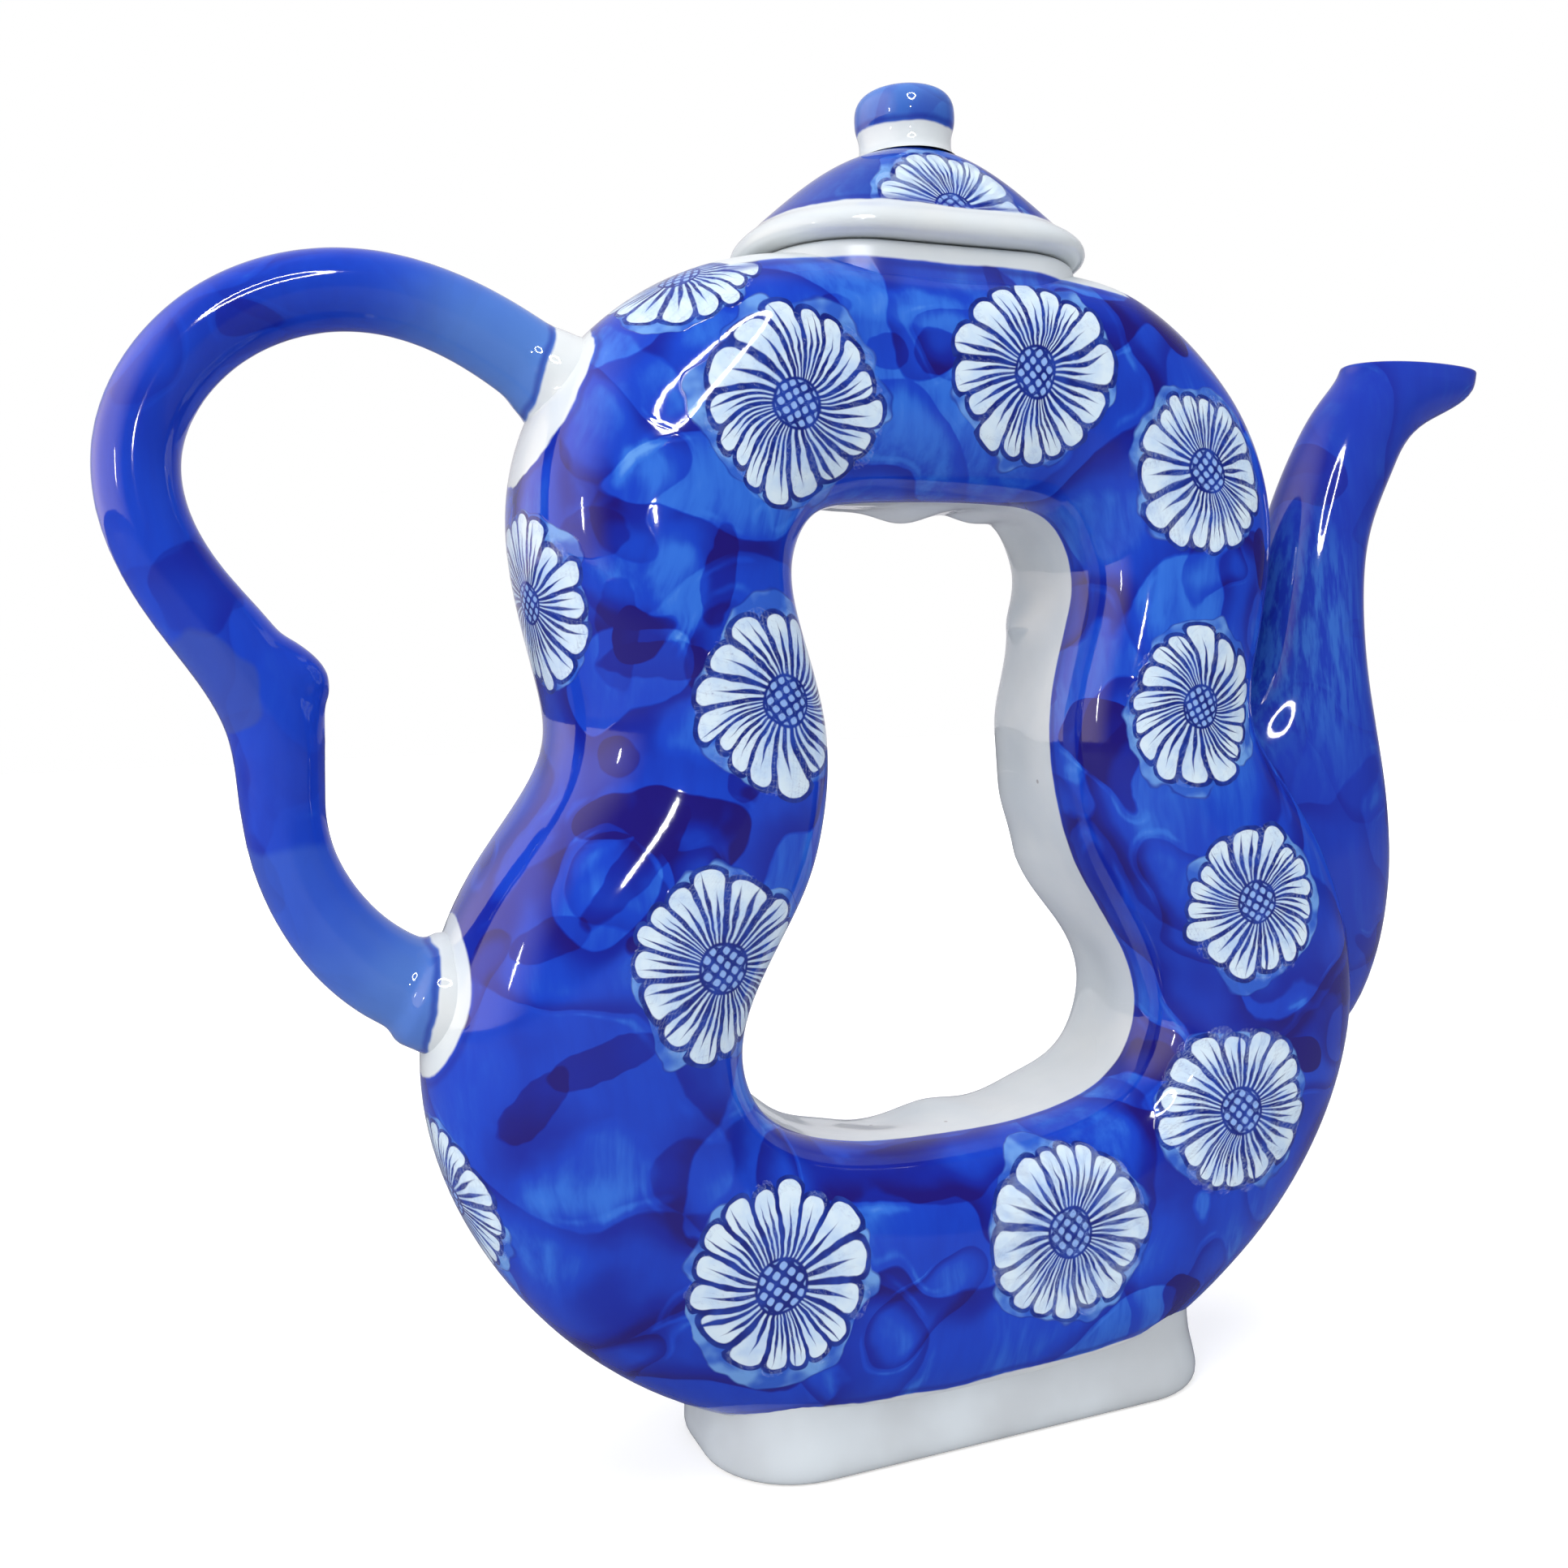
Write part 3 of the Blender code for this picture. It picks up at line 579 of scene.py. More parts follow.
def body_glaze():
    net = Net("painted_body_glaze")
    place = net.place()
    x, y, z = net.split(place)
    wash, depth = cobalt_wash(net, place, net.ramp(z, 0.150, 0.188) * 0.10 + dab_tone(net, place) + 0.01)
    colour, flower = chrysanthemum(net, wash)
    wobble = net.noise(place, 55.0, 1.0) * 0.0045 + net.noise(place, 300.0, 1.0) * 0.0008
    beside = net.maths("MAXIMUM", abs(x) - 0.022, 0.0)
    mouth = z - 0.1934 + beside * 0.14 + net.ramp(x, 0.0, 0.028) * 0.0012 + wobble * 0.3
    mouth = net.least(mouth, 0.0360 - abs(x + 0.0012) + wobble)
    foot = 0.0016 - outside_outline(net, x - FOOT_X, y, "foot_ring", 0.0012, 0.0150) - net.maths("MAXIMUM", z - 0.0095, 0.0) * 0.7 + wobble * 0.8
    upper = 0.0136 - net.vector("DISTANCE", place, (-0.0640, 0.0, 0.1725)) + wobble * 1.1 + net.noise(place, 190.0, 1.0) * 0.0022
    lower = 0.0128 - net.vector("DISTANCE", place, (-0.0826, 0.0, 0.0808)) + wobble * 0.6
    wall = Value(net, net.attribute("into_window").outputs["Fac"]) + wobble * 0.35
    throat = 0.0006 - outside_outline(net, x - MOUTH_X, y, "mouth_collar", 0.0035, 0.0130)
    throat = net.least(throat, z - 0.1845)
    hollow = Value(net, net.tree.nodes.new("ShaderNodeNewGeometry").outputs["Backfacing"])
    bare = net.most(mouth, foot, upper, lower, wall, throat, hollow * 0.02 - 0.01)
    white = net.ramp(bare, -0.0002, 0.0003)
    pooled = net.ramp(abs(bare + 0.0008), 0.0010, 0.0) * 0.6
    colour = net.blend(pooled, colour, DARK_COBALT)
    colour = net.blend(white, colour, white_porcelain(net, place))
    relief = flower * (1.0 - white) * 0.00003 - net.ramp(depth, 0.0, 0.9) * 0.00002
    return glaze_over(net, place, colour, relief, net.ramp(mouth, -0.006, -0.002) * 0.24 + 0.055)


def band_glaze(name, boundary, lighter=0.0, fineness=1.0, tint=None, contrast=1.0):
    """Cobalt where boundary(net, place) is above zero and white elsewhere."""
    net = Net(name)
    place = net.place()
    wash, _ = cobalt_wash(net, place, lighter, fineness, contrast)
    wobble = net.noise(place, 70.0, 1.0) * 0.0030 + net.noise(place, 320.0, 1.0) * 0.0007
    reach = boundary(net, place) + wobble
    if tint is not None:
        wash = tint(net, place, wash)
    pooled = net.ramp(abs(reach - 0.0007), 0.0009, 0.0) * 0.6
    colour = net.blend(pooled, wash, DARK_COBALT)
    colour = net.blend(net.ramp(reach, 0.0003, -0.0002), colour, white_porcelain(net, place))
    return glaze_over(net, place, colour)


def lid_glaze():
    net = Net("painted_lid_glaze")
    place = net.place()
    x, y, z = net.split(place)
    wash, _ = cobalt_wash(net, place, -0.04, 1.3)
    wash = net.blend(0.50, wash, (0.022, 0.055, 0.240))
    colour, _ = chrysanthemum(net, wash)
    wobble = net.noise(place, 60.0, 1.0) * 0.0022 + net.noise(place, 320.0, 1.0) * 0.0006
    reach = z - 0.2026 + wobble
    colour = net.blend(net.ramp(abs(reach - 0.0006), 0.0008, 0.0) * 0.6, colour, DARK_COBALT)
    # The lid's white rim uses a darker copy of the white glaze: painted shade on the rim.
    colour = net.blend(net.ramp(reach, 0.0003, -0.0002), colour, white_porcelain(net, place, (0.62, 0.64, 0.64)))
    return glaze_over(net, place, colour)


def plain_white_glaze(name, shade=WHITE_GLAZE):
    net = Net(name)
    place = net.place()
    return glaze_over(net, place, white_porcelain(net, place, shade))


def bare_clay(name):
    net = Net(name)
    place = net.place()
    grain = net.noise(place, 1400.0, 3.0)
    cloud = net.noise(place, 60.0, 3.0)
    colour = net.blend(net.ramp(cloud + grain * 0.6, -0.3, 0.3), (0.52, 0.47, 0.40), (0.70, 0.67, 0.61))
    net.set(Base_Color=colour, Roughness=grain * 0.2 + 0.62)
    net.plug(net.bump(grain * 0.00006, 1.0), net.shader.inputs["Normal"])
    return net.material


# ---- the body

LOOP_STEPS = 14
ROLL_STEPS = 18
FOOT_X = (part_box("foot_ring")[0].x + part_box("foot_ring")[1].x) / 2
MOUTH_X = (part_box("mouth_collar")[0].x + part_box("mouth_collar")[1].x) / 2


def edge_width(x, z):
    beside = smooth_step((abs(x) - 0.030) / 0.030)
    squarer = TOP_EDGE if z > 0.1 else BASE_EDGE
    return squarer + (SIDE_EDGE - squarer) * beside


def front_section(span, edge, inset, edge_steps, crest_steps, roll_steps):
    """Front half of the cross-section as (s, depth), from the seam to the window."""
    section = []
    for step in range(edge_steps + 1):
        angle = math.pi / 2 * (step / edge_steps)
        s = edge - (edge - inset) * math.cos(angle) ** (2 / EDGE_POWER)
        section.append((s, (CREST - inset) * math.sin(angle) ** (2 / EDGE_POWER)))
    roll = min(ROLL, span - edge - 0.0005)
    start = span - roll
    for step in range(1, crest_steps):
        section.append((edge + (start - edge) * step / crest_steps, CREST - inset))
    for step in range(roll_steps + 1):
        angle = math.pi / 2 * step / roll_steps
        s = start + (roll - inset) * math.sin(angle) ** (2 / ROLL_POWER)
        drop = max(math.cos(angle), 0.0) ** (2 / ROLL_POWER)
        section.append((s, WINDOW_HALF + (CREST - WINDOW_HALF - inset) * drop))
    first, last = edge * 0.45, start + roll * 0.5
    swollen = []
    for s, depth in section:
        share = min(max((s - first) / (last - first), 0.0), 1.0)
        swollen.append((s, depth + CREST_SWELL * math.sin(math.pi * share) ** 2))
    return swollen


def body_grid(inset, edge_steps, crest_steps, roll_steps, wall_steps):
    """Grid of the whole body surface: rows run round the ring, columns round the cross-section."""
    outers = spline(mirrored(BODY_OUTLINE), LOOP_STEPS, closed=True)
    windows = spline(mirrored(WINDOW_OUTLINE), LOOP_STEPS, closed=True)
    rows = []
    for outer, window in zip(outers, windows):
        across = window - outer
        span = np.linalg.norm(across)
        front = front_section(span, edge_width(*outer), inset, edge_steps, crest_steps, roll_steps)
        section = [(s, -depth) for s, depth in front]
        edge_s, edge_depth = front[-1]
        for step in range(1, wall_steps):
            section.append((edge_s, -edge_depth + 2 * edge_depth * step / wall_steps))
        section += [(s, depth) for s, depth in front[:0:-1]]
        rows.append([(outer[0] + across[0] * s / span, y, outer[1] + across[1] * s / span) for s, y in section])
    rows = np.array(rows)
    turn = np.linspace(0, math.tau, len(rows), endpoint=False)
    wave = 0.0010 * np.sin(7 * turn + 0.6) + 0.0006 * np.sin(12 * turn + 2.0) + 0.0005 * np.sin(19 * turn)
    back = smooth_step((rows[:, :, 1] + 0.004) / 0.012) * smooth_step((0.0205 - rows[:, :, 1]) / 0.010)
    towards = np.roll(rows, -1, axis=1)[:, len(front) - 2] - rows[:, 0]
    towards /= np.linalg.norm(towards, axis=1)[:, None]
    near_window = np.zeros(rows.shape[1])
    near_window[len(front) - ROLL_STEPS : rows.shape[1] - len(front) + ROLL_STEPS + 1] = 1.0
    if inset == 0.0:
        rows += (wave[:, None] * back * near_window)[:, :, None] * towards[:, None, :]
    return rows, len(front)


def in_mouth(points):
    """True inside the mouth collar's footprint, so that the collar covers the skin's cut edge."""
    low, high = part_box("mouth_collar")
    half_x, half_y = (high.x - low.x) / 2 - 0.0022, (high.y - low.y) / 2 - 0.0022
    radius = 0.0143
    dx = np.maximum(np.abs(points[:, 0] - MOUTH_X) - (half_x - radius), 0)
    dy = np.maximum(np.abs(points[:, 1]) - (half_y - radius), 0)
    return (np.hypot(dx, dy) < radius) & (points[:, 2] > 0.178)


def face_centres(points, faces):
    return points[np.array(faces)].mean(axis=1)


def flower_frames(points, normals):
    """Centre, right, up, radius and seed of each flower, on the surface."""
    wanted = []
    for index, (x, z, radius) in enumerate(FACE_FLOWERS):
        wanted.append((x, -CREST, z, radius, index + 1))
        wanted.append((-x, CREST, z, radius, index + 21))
    for index, (x, y, z, radius) in enumerate(SIDE_FLOWERS):
        wanted.append((x, y, z, radius, index + 41))
    frames = []
    for x, y, z, radius, seed in wanted:
        nearest = int(np.argmin(np.linalg.norm(points - (x, y, z), axis=1)))
        normal = normals[nearest]
        up = np.array((0.0, 0.0, 1.0)) if abs(normal[2]) < 0.8 else np.array((0.0, 1.0, 0.0))
        right = np.cross(up, normal)
        right /= np.linalg.norm(right)
        frames.append((points[nearest], right, np.cross(normal, right), radius, seed))
    return frames


def add_flower_coordinates(obj, frames):
    """Stores at each face corner the position in the nearest flower, in its radii, and its seed."""
    mesh = obj.data
    points = np.array([v.co for v in mesh.vertices])
    centres = np.array([f.center for f in mesh.polygons])
    reach = np.stack([np.linalg.norm(centres - f[0], axis=1) / f[3] for f in frames], axis=1)
    nearest = reach.argmin(axis=1)
    values = np.zeros((len(mesh.loops), 3))
    corner_vertex = np.zeros(len(mesh.loops), int)
    mesh.loops.foreach_get("vertex_index", corner_vertex)
    corner_face = np.repeat(np.arange(len(mesh.polygons)), [f.loop_total for f in mesh.polygons])
    for index, (centre, right, up, radius, seed) in enumerate(frames):
        corners = np.where(nearest[corner_face] == index)[0]
        offset = (points[corner_vertex[corners]] - centre) / radius
        flat = np.stack([offset @ right, offset @ up], axis=1)
        length = np.maximum(np.linalg.norm(flat, axis=1), 1e-6)
        flat *= (np.linalg.norm(offset, axis=1) / length)[:, None]
        values[corners] = np.column_stack([flat, np.full(len(corners), float(seed))])
    attribute = mesh.attributes.new("flower", "FLOAT_VECTOR", "CORNER")
    attribute.data.foreach_set("vector", values.ravel())


def make_body(material, inner_material):
    grid, front_count = body_grid(0.0, 20, 6, ROLL_STEPS, 8)
    normals = grid_normals(grid, wrap_rows=True)
    if (normals[0, 20] @ np.array((0.0, -1.0, 0.0))) < 0:
        normals = -normals
    rows, columns = grid.shape[:2]
    points = grid.reshape(-1, 3)
    flat_normals = normals.reshape(-1, 3)
    frames = flower_frames(points, flat_normals)
    inner, inner_front = body_grid(WALL, 8, 3, 4, 4)
    inner_columns = inner.shape[1]
    lining_end = columns - front_count + 1
    pieces = (
        ("body_front_skin", range(0, front_count - 1), range(0, inner_front + 1), "body_front_half"),
        ("window_lining", range(front_count - 1, lining_end), range(0), "window_wall"),
        ("body_back_skin", range(lining_end, columns), range(inner_front + 1, inner_columns), "body_back_half"),
    )
    made = []
    for name, strips, inner_strips, node in pieces:
        faces = []
        for i in range(rows):
            for j in strips:
                a, b = i * columns + j, i * columns + (j + 1) % columns
                down = (i + 1) % rows * columns
                faces.append((a, b, down + (j + 1) % columns, down + j))
        centres = face_centres(points, faces)
        keep = ~in_mouth(centres)
        faces = [face for face, kept in zip(faces, keep) if kept]
        used = sorted({v for face in faces for v in face})
        index_of = {v: k for k, v in enumerate(used)}
        faces = [tuple(index_of[v] for v in face) for face in faces]
        own_points = points[used]
        own_normals = flat_normals[used]
        first = face_centres(own_points, faces[:1])[0]
        a, b, c = (own_points[v] for v in faces[0][:3])
        if np.cross(b - a, c - a) @ own_normals[faces[0][0]] < 0:
            faces = [face[::-1] for face in faces]
        outer_faces = len(faces)
        outer_points = len(own_points)
        if len(inner_strips):
            inner_points = inner.reshape(-1, 3)
            inner_faces = []
            for i in range(rows):
                for j in inner_strips:
                    p, q = i * inner_columns + j, i * inner_columns + (j + 1) % inner_columns
                    down = (i + 1) % rows * inner_columns
                    inner_faces.append((p, down + j, down + (j + 1) % inner_columns, q))
            inner_keep = ~in_mouth(face_centres(inner_points, inner_faces))
            inner_faces = [face for face, kept in zip(inner_faces, inner_keep) if kept]
            inner_used = sorted({v for face in inner_faces for v in face})
            inner_index = {v: k + outer_points for k, v in enumerate(inner_used)}
            faces = faces + [tuple(inner_index[v] for v in face) for face in inner_faces]
            own_points = np.concatenate([own_points, inner_points[inner_used]])
            filler = np.zeros((len(inner_used), 3))
            own_normals = np.concatenate([own_normals, filler])
        obj = new_object(name, own_points, faces, material)
        mesh = obj.data
        mesh.materials.append(inner_material)
        slots = np.zeros(len(faces), int)
        slots[outer_faces:] = 1
        mesh.polygons.foreach_set("material_index", slots)
        mesh.normals_split_custom_set_from_vertices([tuple(n) for n in own_normals])
        add_flower_coordinates(obj, frames)
        columns_of = np.array(used) % columns
        in_roll = (columns_of >= front_count - ROLL_STEPS) & (columns_of <= columns - front_count + ROLL_STEPS)
        into = np.full(len(own_points), -0.02)
        deep = own_points[:outer_points, 1][in_roll]
        into[:outer_points][in_roll] = np.minimum(deep + 0.0078, 0.0165 - deep)
        attribute = mesh.attributes.new("into_window", "FLOAT", "POINT")
        attribute.data.foreach_set("value", into)
        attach(obj, "pot")
        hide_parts(node)
        made.append(obj)
    return made


# ---- foot, collar, spout, handle


def level_rows(width, depth, radius, profile, x_middle, count=120):
    """Rows of a ring that follows a rounded rectangle: profile is (growth, z)."""
    rows = []
    for grow, z in profile:
        loop = even_loop(rounded_rectangle(width + 2 * grow, depth + 2 * grow, radius + grow), count)
        rows.append([(x + x_middle, y, z) for x, y in loop])
    return rows


def make_foot(material, clay):
    profile = spline(
        (
            (-0.0065, 0.0160), (-0.0064, 0.0080), (-0.0062, 0.0016), (-0.0052, 0.0002), (-0.0030, 0.0000),
            (-0.0004, 0.0000), (0.0008, 0.0006), (0.0012, 0.0018), (0.0009, 0.0045), (0.0002, 0.0080),
            (-0.0001, 0.0110), (-0.0002, 0.0150),
        ),
        4,
    )
    low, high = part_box("foot_ring")
    width = high.x - low.x - 0.0024
    depth = high.y - low.y - 0.0024
    foot = loft("foot_skin", level_rows(width, depth, 0.015, profile, FOOT_X), material)
    foot.data.materials.append(clay)
    under = [1 if f.center.z < 0.0004 else 0 for f in foot.data.polygons]
    foot.data.polygons.foreach_set("material_index", under)
    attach(foot, "pot")
    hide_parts("foot_ring")
    return foot


def make_collar(material):
    low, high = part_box("mouth_collar")
    top = high.z
    profile = spline(
        (
            (0.0030, 0.1845), (0.0013, 0.1885), (0.0004, 0.1915), (0.0, 0.1940), (-0.0003, top - 0.0008),
            (-0.0012, top), (-0.0030, top), (-0.0042, top - 0.0008), (-0.0045, top - 0.0030), (-0.0045, 0.1870),
        ),
        4,
    )
    width, depth = high.x - low.x, high.y - low.y
    collar = loft("mouth_collar_skin", level_rows(width, depth, 0.0165, profile, MOUTH_X), material)
    collar.data.attributes.new("into_window", "FLOAT", "POINT").data.foreach_set(
        "value", [-0.02] * len(collar.data.vertices)
    )
    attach(collar, "pot")
    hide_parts("mouth_collar")
    return collar


def spout_rows(wall, steps=8, sides=56):
    rows = []
    stations = spline(SPOUT_SECTIONS, steps)
    for index, (inner_x, inner_z, outer_x, outer_z, half_depth) in enumerate(stations):
        along = index / (len(stations) - 1)
        centre = np.array((inner_x + outer_x, inner_z + outer_z)) / 2
        reach = np.array((outer_x - inner_x, outer_z - inner_z)) / 2
        half_length = np.linalg.norm(reach)
        reach *= (half_length - wall) / half_length
        beak = SPOUT_BEAK * along**4
        row = []
        for side in range(sides):
            angle = math.tau * side / sides
            x, z = centre + reach * math.cos(angle)
            pinch = 1 - beak * (1 + math.cos(angle)) / 2
            row.append((x, (half_depth - wall) * pinch * math.sin(angle), z))
        rows.append(np.array(row))
    return rows


def make_spout(material):
    outside = spout_rows(0.0)
    inside = spout_rows(SPOUT_WALL)
    lip = []
    top_out, top_in = outside[-1], inside[-1]
    for step in range(1, 6):
        angle = math.pi * step / 6
        middle = (top_out + top_in) / 2
        half = (top_out - top_in) / 2
        ring = middle + half * math.cos(angle)
        ring[:, 2] += 0.0007 * math.sin(angle)
        lip.append(ring)
    throat = inside[:20:-1]
    spout = loft("spout_skin", outside + lip + throat, material)
    painted = [0.02] * (len(outside) + len(lip)) + [0.001] + [-0.003] + [-0.02] * (len(throat) - 2)
    spout.data.attributes.new("painted", "FLOAT", "POINT").data.foreach_set(
        "value", np.repeat(painted, len(outside[0]))
    )
    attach(spout, "pot")
    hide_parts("spout")
    return spout


def sweep_rows(stations, sides=32, depth=HANDLE_DEPTH):
    line = np.array(stations)
    heading = np.gradient(line[:, :2], axis=0)
    heading /= np.linalg.norm(heading, axis=1)[:, None]
    rows = []
    for (x, z, thickness), (ahead_x, ahead_z) in zip(line, heading):
        row = []
        for side in range(sides):
            angle = math.tau * side / sides
            across = thickness * math.cos(angle)
            row.append((x - ahead_z * across, thickness * depth * math.sin(angle), z + ahead_x * across))
        rows.append(row)
    return rows


def collar_swell(line, end, towards_start, ridge, flare, reach):
    """Added half thickness near a joint: the ridge where the slip begins and a flare to the body."""
    run = np.concatenate([[0], np.cumsum(np.linalg.norm(np.diff(line[:, :2], axis=0), axis=1))])
    at = run[int(np.argmin(np.linalg.norm(line[:, :2] - np.array(end), axis=1)))]
    past = (at - run) if towards_start else (run - at)
    ring = ridge * smooth_step((past + 0.0006) / 0.0016)
    widen = flare * np.clip((past - 0.001) / reach, 0, 1) ** 1.8
    return ring + widen


def make_handle(material):
    line = spline(HANDLE_PATH, 12)
    swell = collar_swell(line, (-0.0648, 0.1780), True, 0.0007, 0.0080, 0.012)
    swell += collar_swell(line, (-0.0882, 0.0832), False, 0.0017, 0.0040, 0.011)
    line[:, 2] += swell
    handle = loft("handle_skin", sweep_rows(line), material, cap_start=True, cap_end=True)
    spur_line = []
    for step in range(13):
        share = step / 12
        x = SPUR_ROOT[0] + (SPUR_TIP[0] - SPUR_ROOT[0]) * share
        z = SPUR_ROOT[1] + (SPUR_TIP[1] - SPUR_ROOT[1]) * share
        spur_line.append((x, z, 0.0059 * math.sqrt(1.03 - share**4)))
    spurs = [spur_line, [(x, z, 0.0050) for x, z in np.linspace((-0.1034, 0.1272), (-0.1042, 0.1080), 12)]]
    for index, stations in enumerate(spurs):
        lobe = loft(f"spur_{index}", sweep_rows(stations), material, cap_start=True, cap_end=True)
        join = handle.modifiers.new(lobe.name, "BOOLEAN")
        join.operation = "UNION"
        join.object = lobe
    remesh = handle.modifiers.new("remesh", "REMESH")
    remesh.mode = "VOXEL"
    remesh.voxel_size = 0.0007
    soften = handle.modifiers.new("soften", "SMOOTH")
    soften.iterations = 14
    soften.factor = 0.5
    graph = bpy.context.evaluated_depsgraph_get()
    baked = bpy.data.meshes.new_from_object(handle.evaluated_get(graph))
    handle.modifiers.clear()
    handle.data = baked
    baked.shade_smooth()
    for lobe in [obj for obj in bpy.context.scene.objects if obj.name.startswith("spur_")]:
        bpy.data.objects.remove(lobe)
    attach(handle, "pot")
    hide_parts("handle", "handle_upper_collar", "handle_lower_collar")
    return handle


# ---- the lid


def make_lid(material, knob_material):
    rim_low, rim_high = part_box("lid_rim")
    dome_low, dome_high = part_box("lid_dome")
    knob_low, knob_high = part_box("lid_knob")
    width, depth = rim_high.x - rim_low.x, rim_high.y - rim_low.y
    neck = (knob_high.x - knob_low.x) / 2 - 0.0005
    base_inset = 0.0039
    profile = spline(
        (
            (0.0070, 0.0003), (0.0040, 0.0000), (0.0018, 0.0001), (0.0004, 0.0007), (0.0000, 0.0019),
            (0.0005, 0.0032), (0.0016, 0.0043), (0.0028, 0.0052), (base_inset, 0.0062),
        ),
        5,
    )
    rows = []
    for inset, rise in profile:
        loop = rounded_rectangle(width - 2 * inset, depth - 2 * inset, 0.0190 - inset * 0.6)
        rows.append([(x + MOUTH_X, y, rim_low.z + rise) for x, y in even_loop(loop, 128)])
    start_z = rim_low.z + 0.0062
    for step in range(1, 31):
        share = step / 30
        rise = 0.6 * math.sin(share * math.pi / 2) + 0.4 * share
        base_width, base_depth = width - 2 * base_inset, depth - 2 * base_inset
        loop_width = base_width + (2 * neck - base_width) * share
        loop_depth = base_depth + (2 * neck - base_depth) * share
        radius = (0.0190 - base_inset * 0.6) * (1 - share) + loop_depth / 2 * share
        loop = rounded_rectangle(loop_width, loop_depth, radius)
        z = start_z + (dome_high.z - start_z) * rise
        rows.append([(x + MOUTH_X, y, z) for x, y in even_loop(loop, 128)])
    lid = loft("lid_skin", rows, material, cap_end=True)
    points = np.array([v.co for v in lid.data.vertices])
    normals = np.array([v.normal for v in lid.data.vertices])
    frames = []
    for side, seed in ((-1, 61), (1, 62)):
        nearest = int(np.argmin(np.linalg.norm(points - (0.0010, side * 0.0155, 0.2046), axis=1)))
        normal = normals[nearest]
        right = np.cross((0.0, 0.0, 1.0), normal)
        right /= np.linalg.norm(right)
        upward = np.cross(normal, right)
        frames.append((points[nearest] - upward * 0.0028, right, upward, 0.0140, seed))
    add_flower_coordinates(lid, frames)
    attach(lid, "lid")
    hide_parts("lid_rim", "lid_dome")

    radius = (knob_high.x - knob_low.x) / 2 + 0.0003
    low, top = knob_low.z, knob_high.z
    outline = spline(
        (
            (radius * 1.06, low - 0.0006), (radius * 0.955, low + 0.0004), (radius * 0.92, low + 0.0018),
            (radius * 0.935, low + 0.0036), (radius * 0.985, low + 0.0052), (radius, low + 0.0070),
            (radius * 0.975, top - 0.0026), (radius * 0.88, top - 0.0013), (radius * 0.70, top - 0.0005),
            (radius * 0.40, top - 0.0001), (0.0002, top),
        ),
        6,
    )
    rows = []
    for reach, z in outline:
        turns = [math.tau * side / 64 for side in range(64)]
        rows.append([(MOUTH_X + reach * math.cos(a), reach * math.sin(a), z) for a in turns])
    knob = loft("knob_skin", rows, knob_material, cap_end=True)
    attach(knob, "lid")
    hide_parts("lid_knob")
    return lid, knob


# ---- stage, light and camera


def stage_and_light():
    net = Net("pale_floor")
    place = net.place()
    tone = net.noise(place, 3.0, 2.0)
    seen = Value(net, net.tree.nodes.new("ShaderNodeLightPath").outputs["Is Camera Ray"])
    mirrored_floor = Value(net, net.tree.nodes.new("ShaderNodeLightPath").outputs["Is Glossy Ray"])
    pale = net.blend(net.ramp(tone, -0.3, 0.3), (0.60, 0.60, 0.61), (0.64, 0.64, 0.64))
    away = net.ramp(net.vector("LENGTH", place), 0.25, 1.1)
    net.set(Base_Color=net.blend(mirrored_floor, pale, (0.16, 0.16, 0.20)), Roughness=0.8)
    net.set(Emission_Color=(1.0, 1.0, 1.0), Emission_Strength=seen * (away * 0.6 + 0.5))
    rim = [(4.0 * math.cos(math.tau * k / 64), 4.0 * math.sin(math.tau * k / 64), 0.0) for k in range(64)]
    floor = new_object("pale_floor", rim, [tuple(range(64))], net.material)

    world = bpy.data.worlds.new("studio")
    world.use_nodes = True
    tree = world.node_tree
    studio = Net.__new__(Net)
    studio.tree = tree
    path = tree.nodes.new("ShaderNodeLightPath")
    toward = Value(studio, tree.nodes.new("ShaderNodeTexCoord").outputs["Generated"])
    behind = net_dot(studio, toward, (math.sin(math.radians(-20)), math.cos(math.radians(20)), 0.1))
    left = net_dot(studio, toward, (-1.0, 0.1, 0.15))
    mirror = studio.blend(studio.ramp(behind, -0.35, 0.75), (0.07, 0.07, 0.09), (0.62, 0.60, 0.64))
    mirror = studio.blend(studio.ramp(left, 0.45, 0.95) * 0.9, mirror, (2.6, 2.1, 1.7))
    ambient = studio.blend(Value(studio, path.outputs["Is Glossy Ray"]), (0.46, 0.47, 0.49), mirror)
    seen_world = studio.blend(Value(studio, path.outputs["Is Camera Ray"]), ambient, (1.0, 1.0, 1.0))
    studio.plug(seen_world, tree.nodes["Background"].inputs["Color"])
    bpy.context.scene.world = world


def net_dot(net, vector, direction):
    length = math.sqrt(sum(part * part for part in direction))
    return net.vector("DOT_PRODUCT", vector, tuple(part / length for part in direction))


def polar(azimuth, elevation, distance, middle=(0.0, 0.0, 0.11)):
    """A place seen from the pot at this azimuth from the front, turning to the right."""
    turn, rise = math.radians(azimuth), math.radians(elevation)
    away = Vector((math.sin(turn) * math.cos(rise), -math.cos(turn) * math.cos(rise), math.sin(rise)))
    return Vector(middle) + away * distance


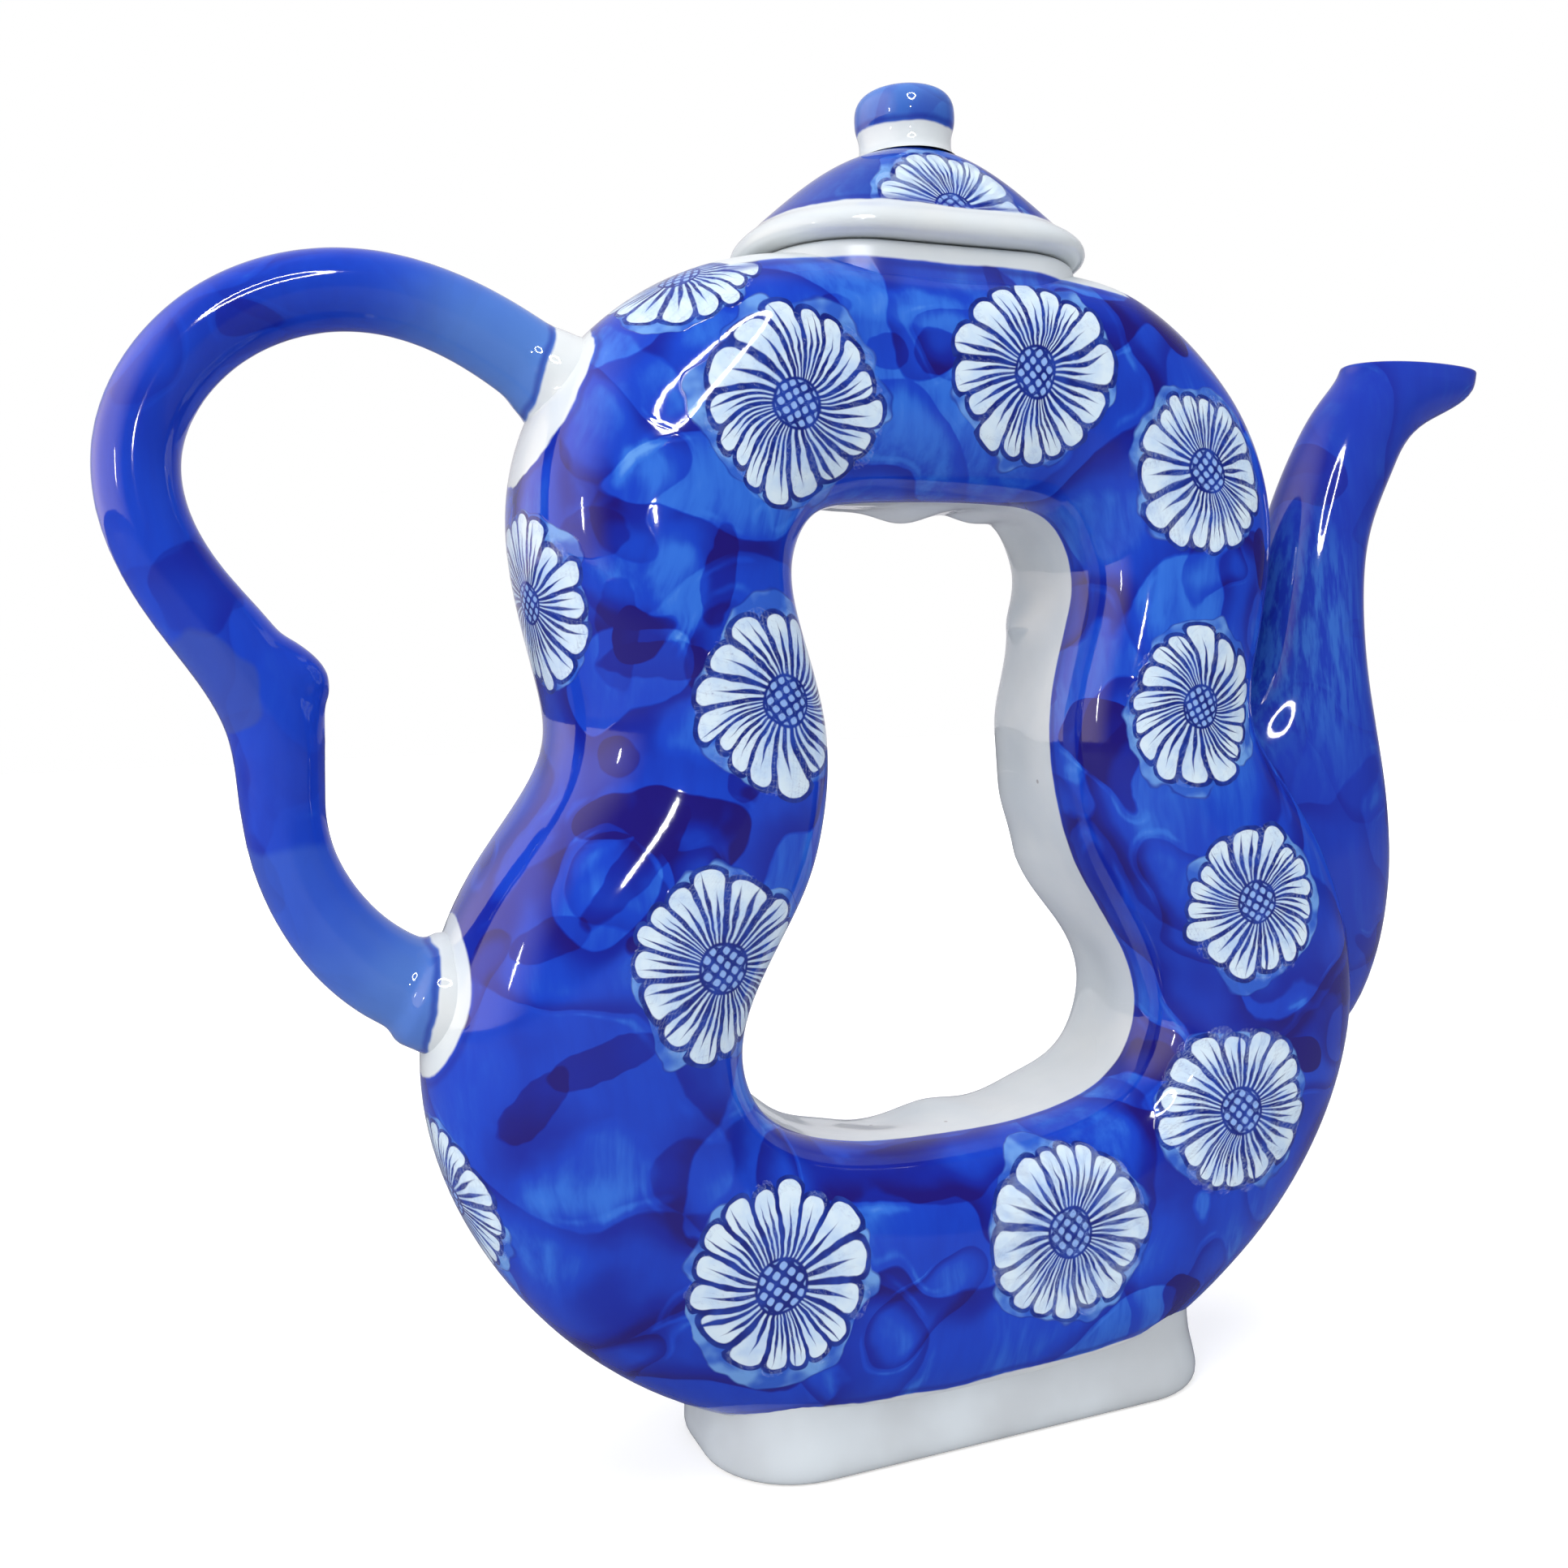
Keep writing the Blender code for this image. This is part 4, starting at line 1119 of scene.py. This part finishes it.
def area_light(name, place, size, power, glossy=False, ring=None):
    """A soft light aimed at the pot. One that is mirrored in the glaze lights nothing else."""
    light = bpy.data.lights.new(name, "AREA")
    light.shape = "ELLIPSE"
    light.size, light.size_y = size
    light.energy = power
    obj = bpy.data.objects.new(name, light)
    bpy.context.scene.collection.objects.link(obj)
    obj.location = place
    obj.rotation_euler = (Vector((0.0, 0.0, 0.11)) - Vector(place)).to_track_quat("-Z", "Y").to_euler()
    obj.visible_glossy = glossy
    obj.visible_diffuse = not glossy
    obj.visible_camera = False
    if ring is not None:
        light.use_nodes = True
        tree = light.node_tree
        lamp = Net.__new__(Net)
        lamp.tree = tree
        spot = Value(lamp, tree.nodes.new("ShaderNodeNewGeometry").outputs["Parametric"])
        reach = lamp.vector("DISTANCE", spot, (0.5, 0.5, 0.0)) * 2.0
        lit = lamp.ramp(reach, ring - 0.04, ring + 0.04)
        lamp.plug(lit, tree.nodes["Emission"].inputs["Strength"])
    return obj


CAMERA_AZIMUTH = -21.5
CAMERA_ELEVATION = 3.3
CAMERA_ROLL = -2.0
CAMERA_DISTANCE = 0.250
CAMERA_TARGET = (-0.0252, 0.0, 0.1105)
CAMERA_FOCUS = 1832 / 1932


def add_camera():
    data = bpy.data.cameras.new("camera")
    data.sensor_width = 36.0
    data.lens = 36.0 * CAMERA_FOCUS
    data.clip_start = 0.01
    camera = bpy.data.objects.new("camera", data)
    bpy.context.scene.collection.objects.link(camera)
    turn, rise, roll = (math.radians(a) for a in (CAMERA_AZIMUTH, CAMERA_ELEVATION, CAMERA_ROLL))
    back = Vector((math.sin(turn) * math.cos(rise), -math.cos(turn) * math.cos(rise), math.sin(rise)))
    right = Vector((math.cos(turn), math.sin(turn), 0.0))
    up = back.cross(right)
    leaned_right = math.cos(roll) * right + math.sin(roll) * up
    leaned_up = -math.sin(roll) * right + math.cos(roll) * up
    axes = Matrix((leaned_right, leaned_up, back)).transposed().to_4x4()
    camera.matrix_world = Matrix.Translation(Vector(CAMERA_TARGET) + back * CAMERA_DISTANCE) @ axes
    bpy.context.scene.camera = camera


# ---- put together

body = body_glaze()
interior = plain_white_glaze("interior_glaze", (0.70, 0.73, 0.74))
clay = bare_clay("bare_clay")
make_body(body, interior)
# The foot's white is a darker copy of the white glaze: painted shade on the low foot, which gets less light.
make_foot(plain_white_glaze("foot_glaze", (0.48, 0.505, 0.525)), clay)
make_collar(body)


def handle_reach(net, place):
    upper = net.vector("DOT_PRODUCT", net.vector("SUBTRACT", place, (-0.0640, 0.0, 0.1765)), (-0.95, 0.0, 0.31))
    lower = net.vector("DOT_PRODUCT", net.vector("SUBTRACT", place, (-0.0858, 0.0, 0.0800)), (-0.99, 0.0, 0.14))
    joint = net.ramp(net.split(place)[2], 0.125, 0.135)
    return upper * joint + lower * (1.0 - joint)


def handle_tint(net, place, wash):
    x, y, z = net.split(place)
    near = net.vector("DISTANCE", place, (-0.060, 0.0, 0.175))
    ragged = net.noise(place, 75.0, 2.0)
    low = net.ramp(z + ragged * 0.006, 0.1065, 0.1045)
    lowest = net.ramp(net.vector("DISTANCE", place, (-0.0858, 0.0, 0.0800)) + ragged * 0.010, 0.024, 0.008)
    kink = net.ramp(net.vector("DISTANCE", place, (-0.1150, -0.0030, 0.1290)) + ragged * 0.008, 0.0084, 0.0076)
    # Lighter blue round the upper joint: partly the wash's own lighter tone, partly a painted highlight on the
    # handle's top.
    wash = net.blend(net.ramp(near + ragged * 0.012, 0.038, 0.010) * 0.90, wash, (0.09, 0.21, 0.55))
    wash = net.blend(low * 0.30, wash, (0.07, 0.16, 0.50))
    wash = net.blend(lowest * 0.75, wash, (0.09, 0.20, 0.52))
    return net.blend(kink * 0.55, wash, (0.045, 0.075, 0.30))


make_handle(band_glaze("painted_handle_glaze", handle_reach, -0.09, 0.9, handle_tint, 0.30))


def spout_tint(net, place, wash):
    """Thinner, streaky colour along the middle of the spout's sides."""
    x, y, z = net.split(place)
    streak = net.noise(net.vector("MULTIPLY", place, (700.0, 700.0, 60.0)), 1.0, 3.0, 0.6)
    middle = net.ramp(abs(z - 0.135), 0.030, 0.004) * net.ramp(x, 0.094, 0.080)
    wash = net.blend(0.42, wash, (0.020, 0.028, 0.270))
    return net.blend(middle * net.ramp(streak, -0.12, 0.14) * 0.6, wash, (0.05, 0.19, 0.56))


def spout_reach(net, place):
    return Value(net, net.attribute("painted").outputs["Fac"])


make_spout(band_glaze("painted_spout_glaze", spout_reach, -0.03, 1.1, spout_tint, 0.60))


# Greyish pale blue laid over the knob's cobalt, lighter towards the top: a painted reflection.
def knob_tint_painted_reflection(net, place, wash):
    return net.blend(0.55, wash, net.blend(net.ramp(net.split(place)[2], 0.2200, 0.2262), (0.05, 0.12, 0.40), (0.13, 0.24, 0.50)))


knob_glaze = band_glaze("painted_knob_glaze", lambda net, place: net.split(place)[2] - 0.2197, 0.25, 1.0, knob_tint_painted_reflection)
make_lid(lid_glaze(), knob_glaze)
for node in ("strainer", "lid_flange"):
    obj = frame["nodes"][node]
    obj.data.materials.clear()
    obj.data.materials.append(clay)
stage_and_light()
add_camera()
area_light("key_soft", polar(-58, 32, 1.2), (0.9, 0.9), 8.5)
area_light("fill_soft", polar(50, 28, 1.2), (0.9, 0.9), 4.5)
area_light("top_soft", polar(0, 85, 1.0), (1.1, 1.1), 6.0)
area_light("back_soft", polar(155, 35, 1.2), (0.9, 0.9), 4.0)
area_light("wall_soft", polar(-88, 4, 1.1), (0.5, 0.5), 2.2)
area_light("ring_glint", polar(-7, 34, 2.0), (0.62, 0.62), 60.0, glossy=True, ring=0.80)
area_light("lamp_glint", polar(-11, 13, 2.0), (0.05, 0.10), 2.5, glossy=True)
area_light("left_glint", polar(-58, 11, 2.0), (0.04, 0.34), 2.5, glossy=True)
bpy.context.scene.view_settings.view_transform = "Standard"
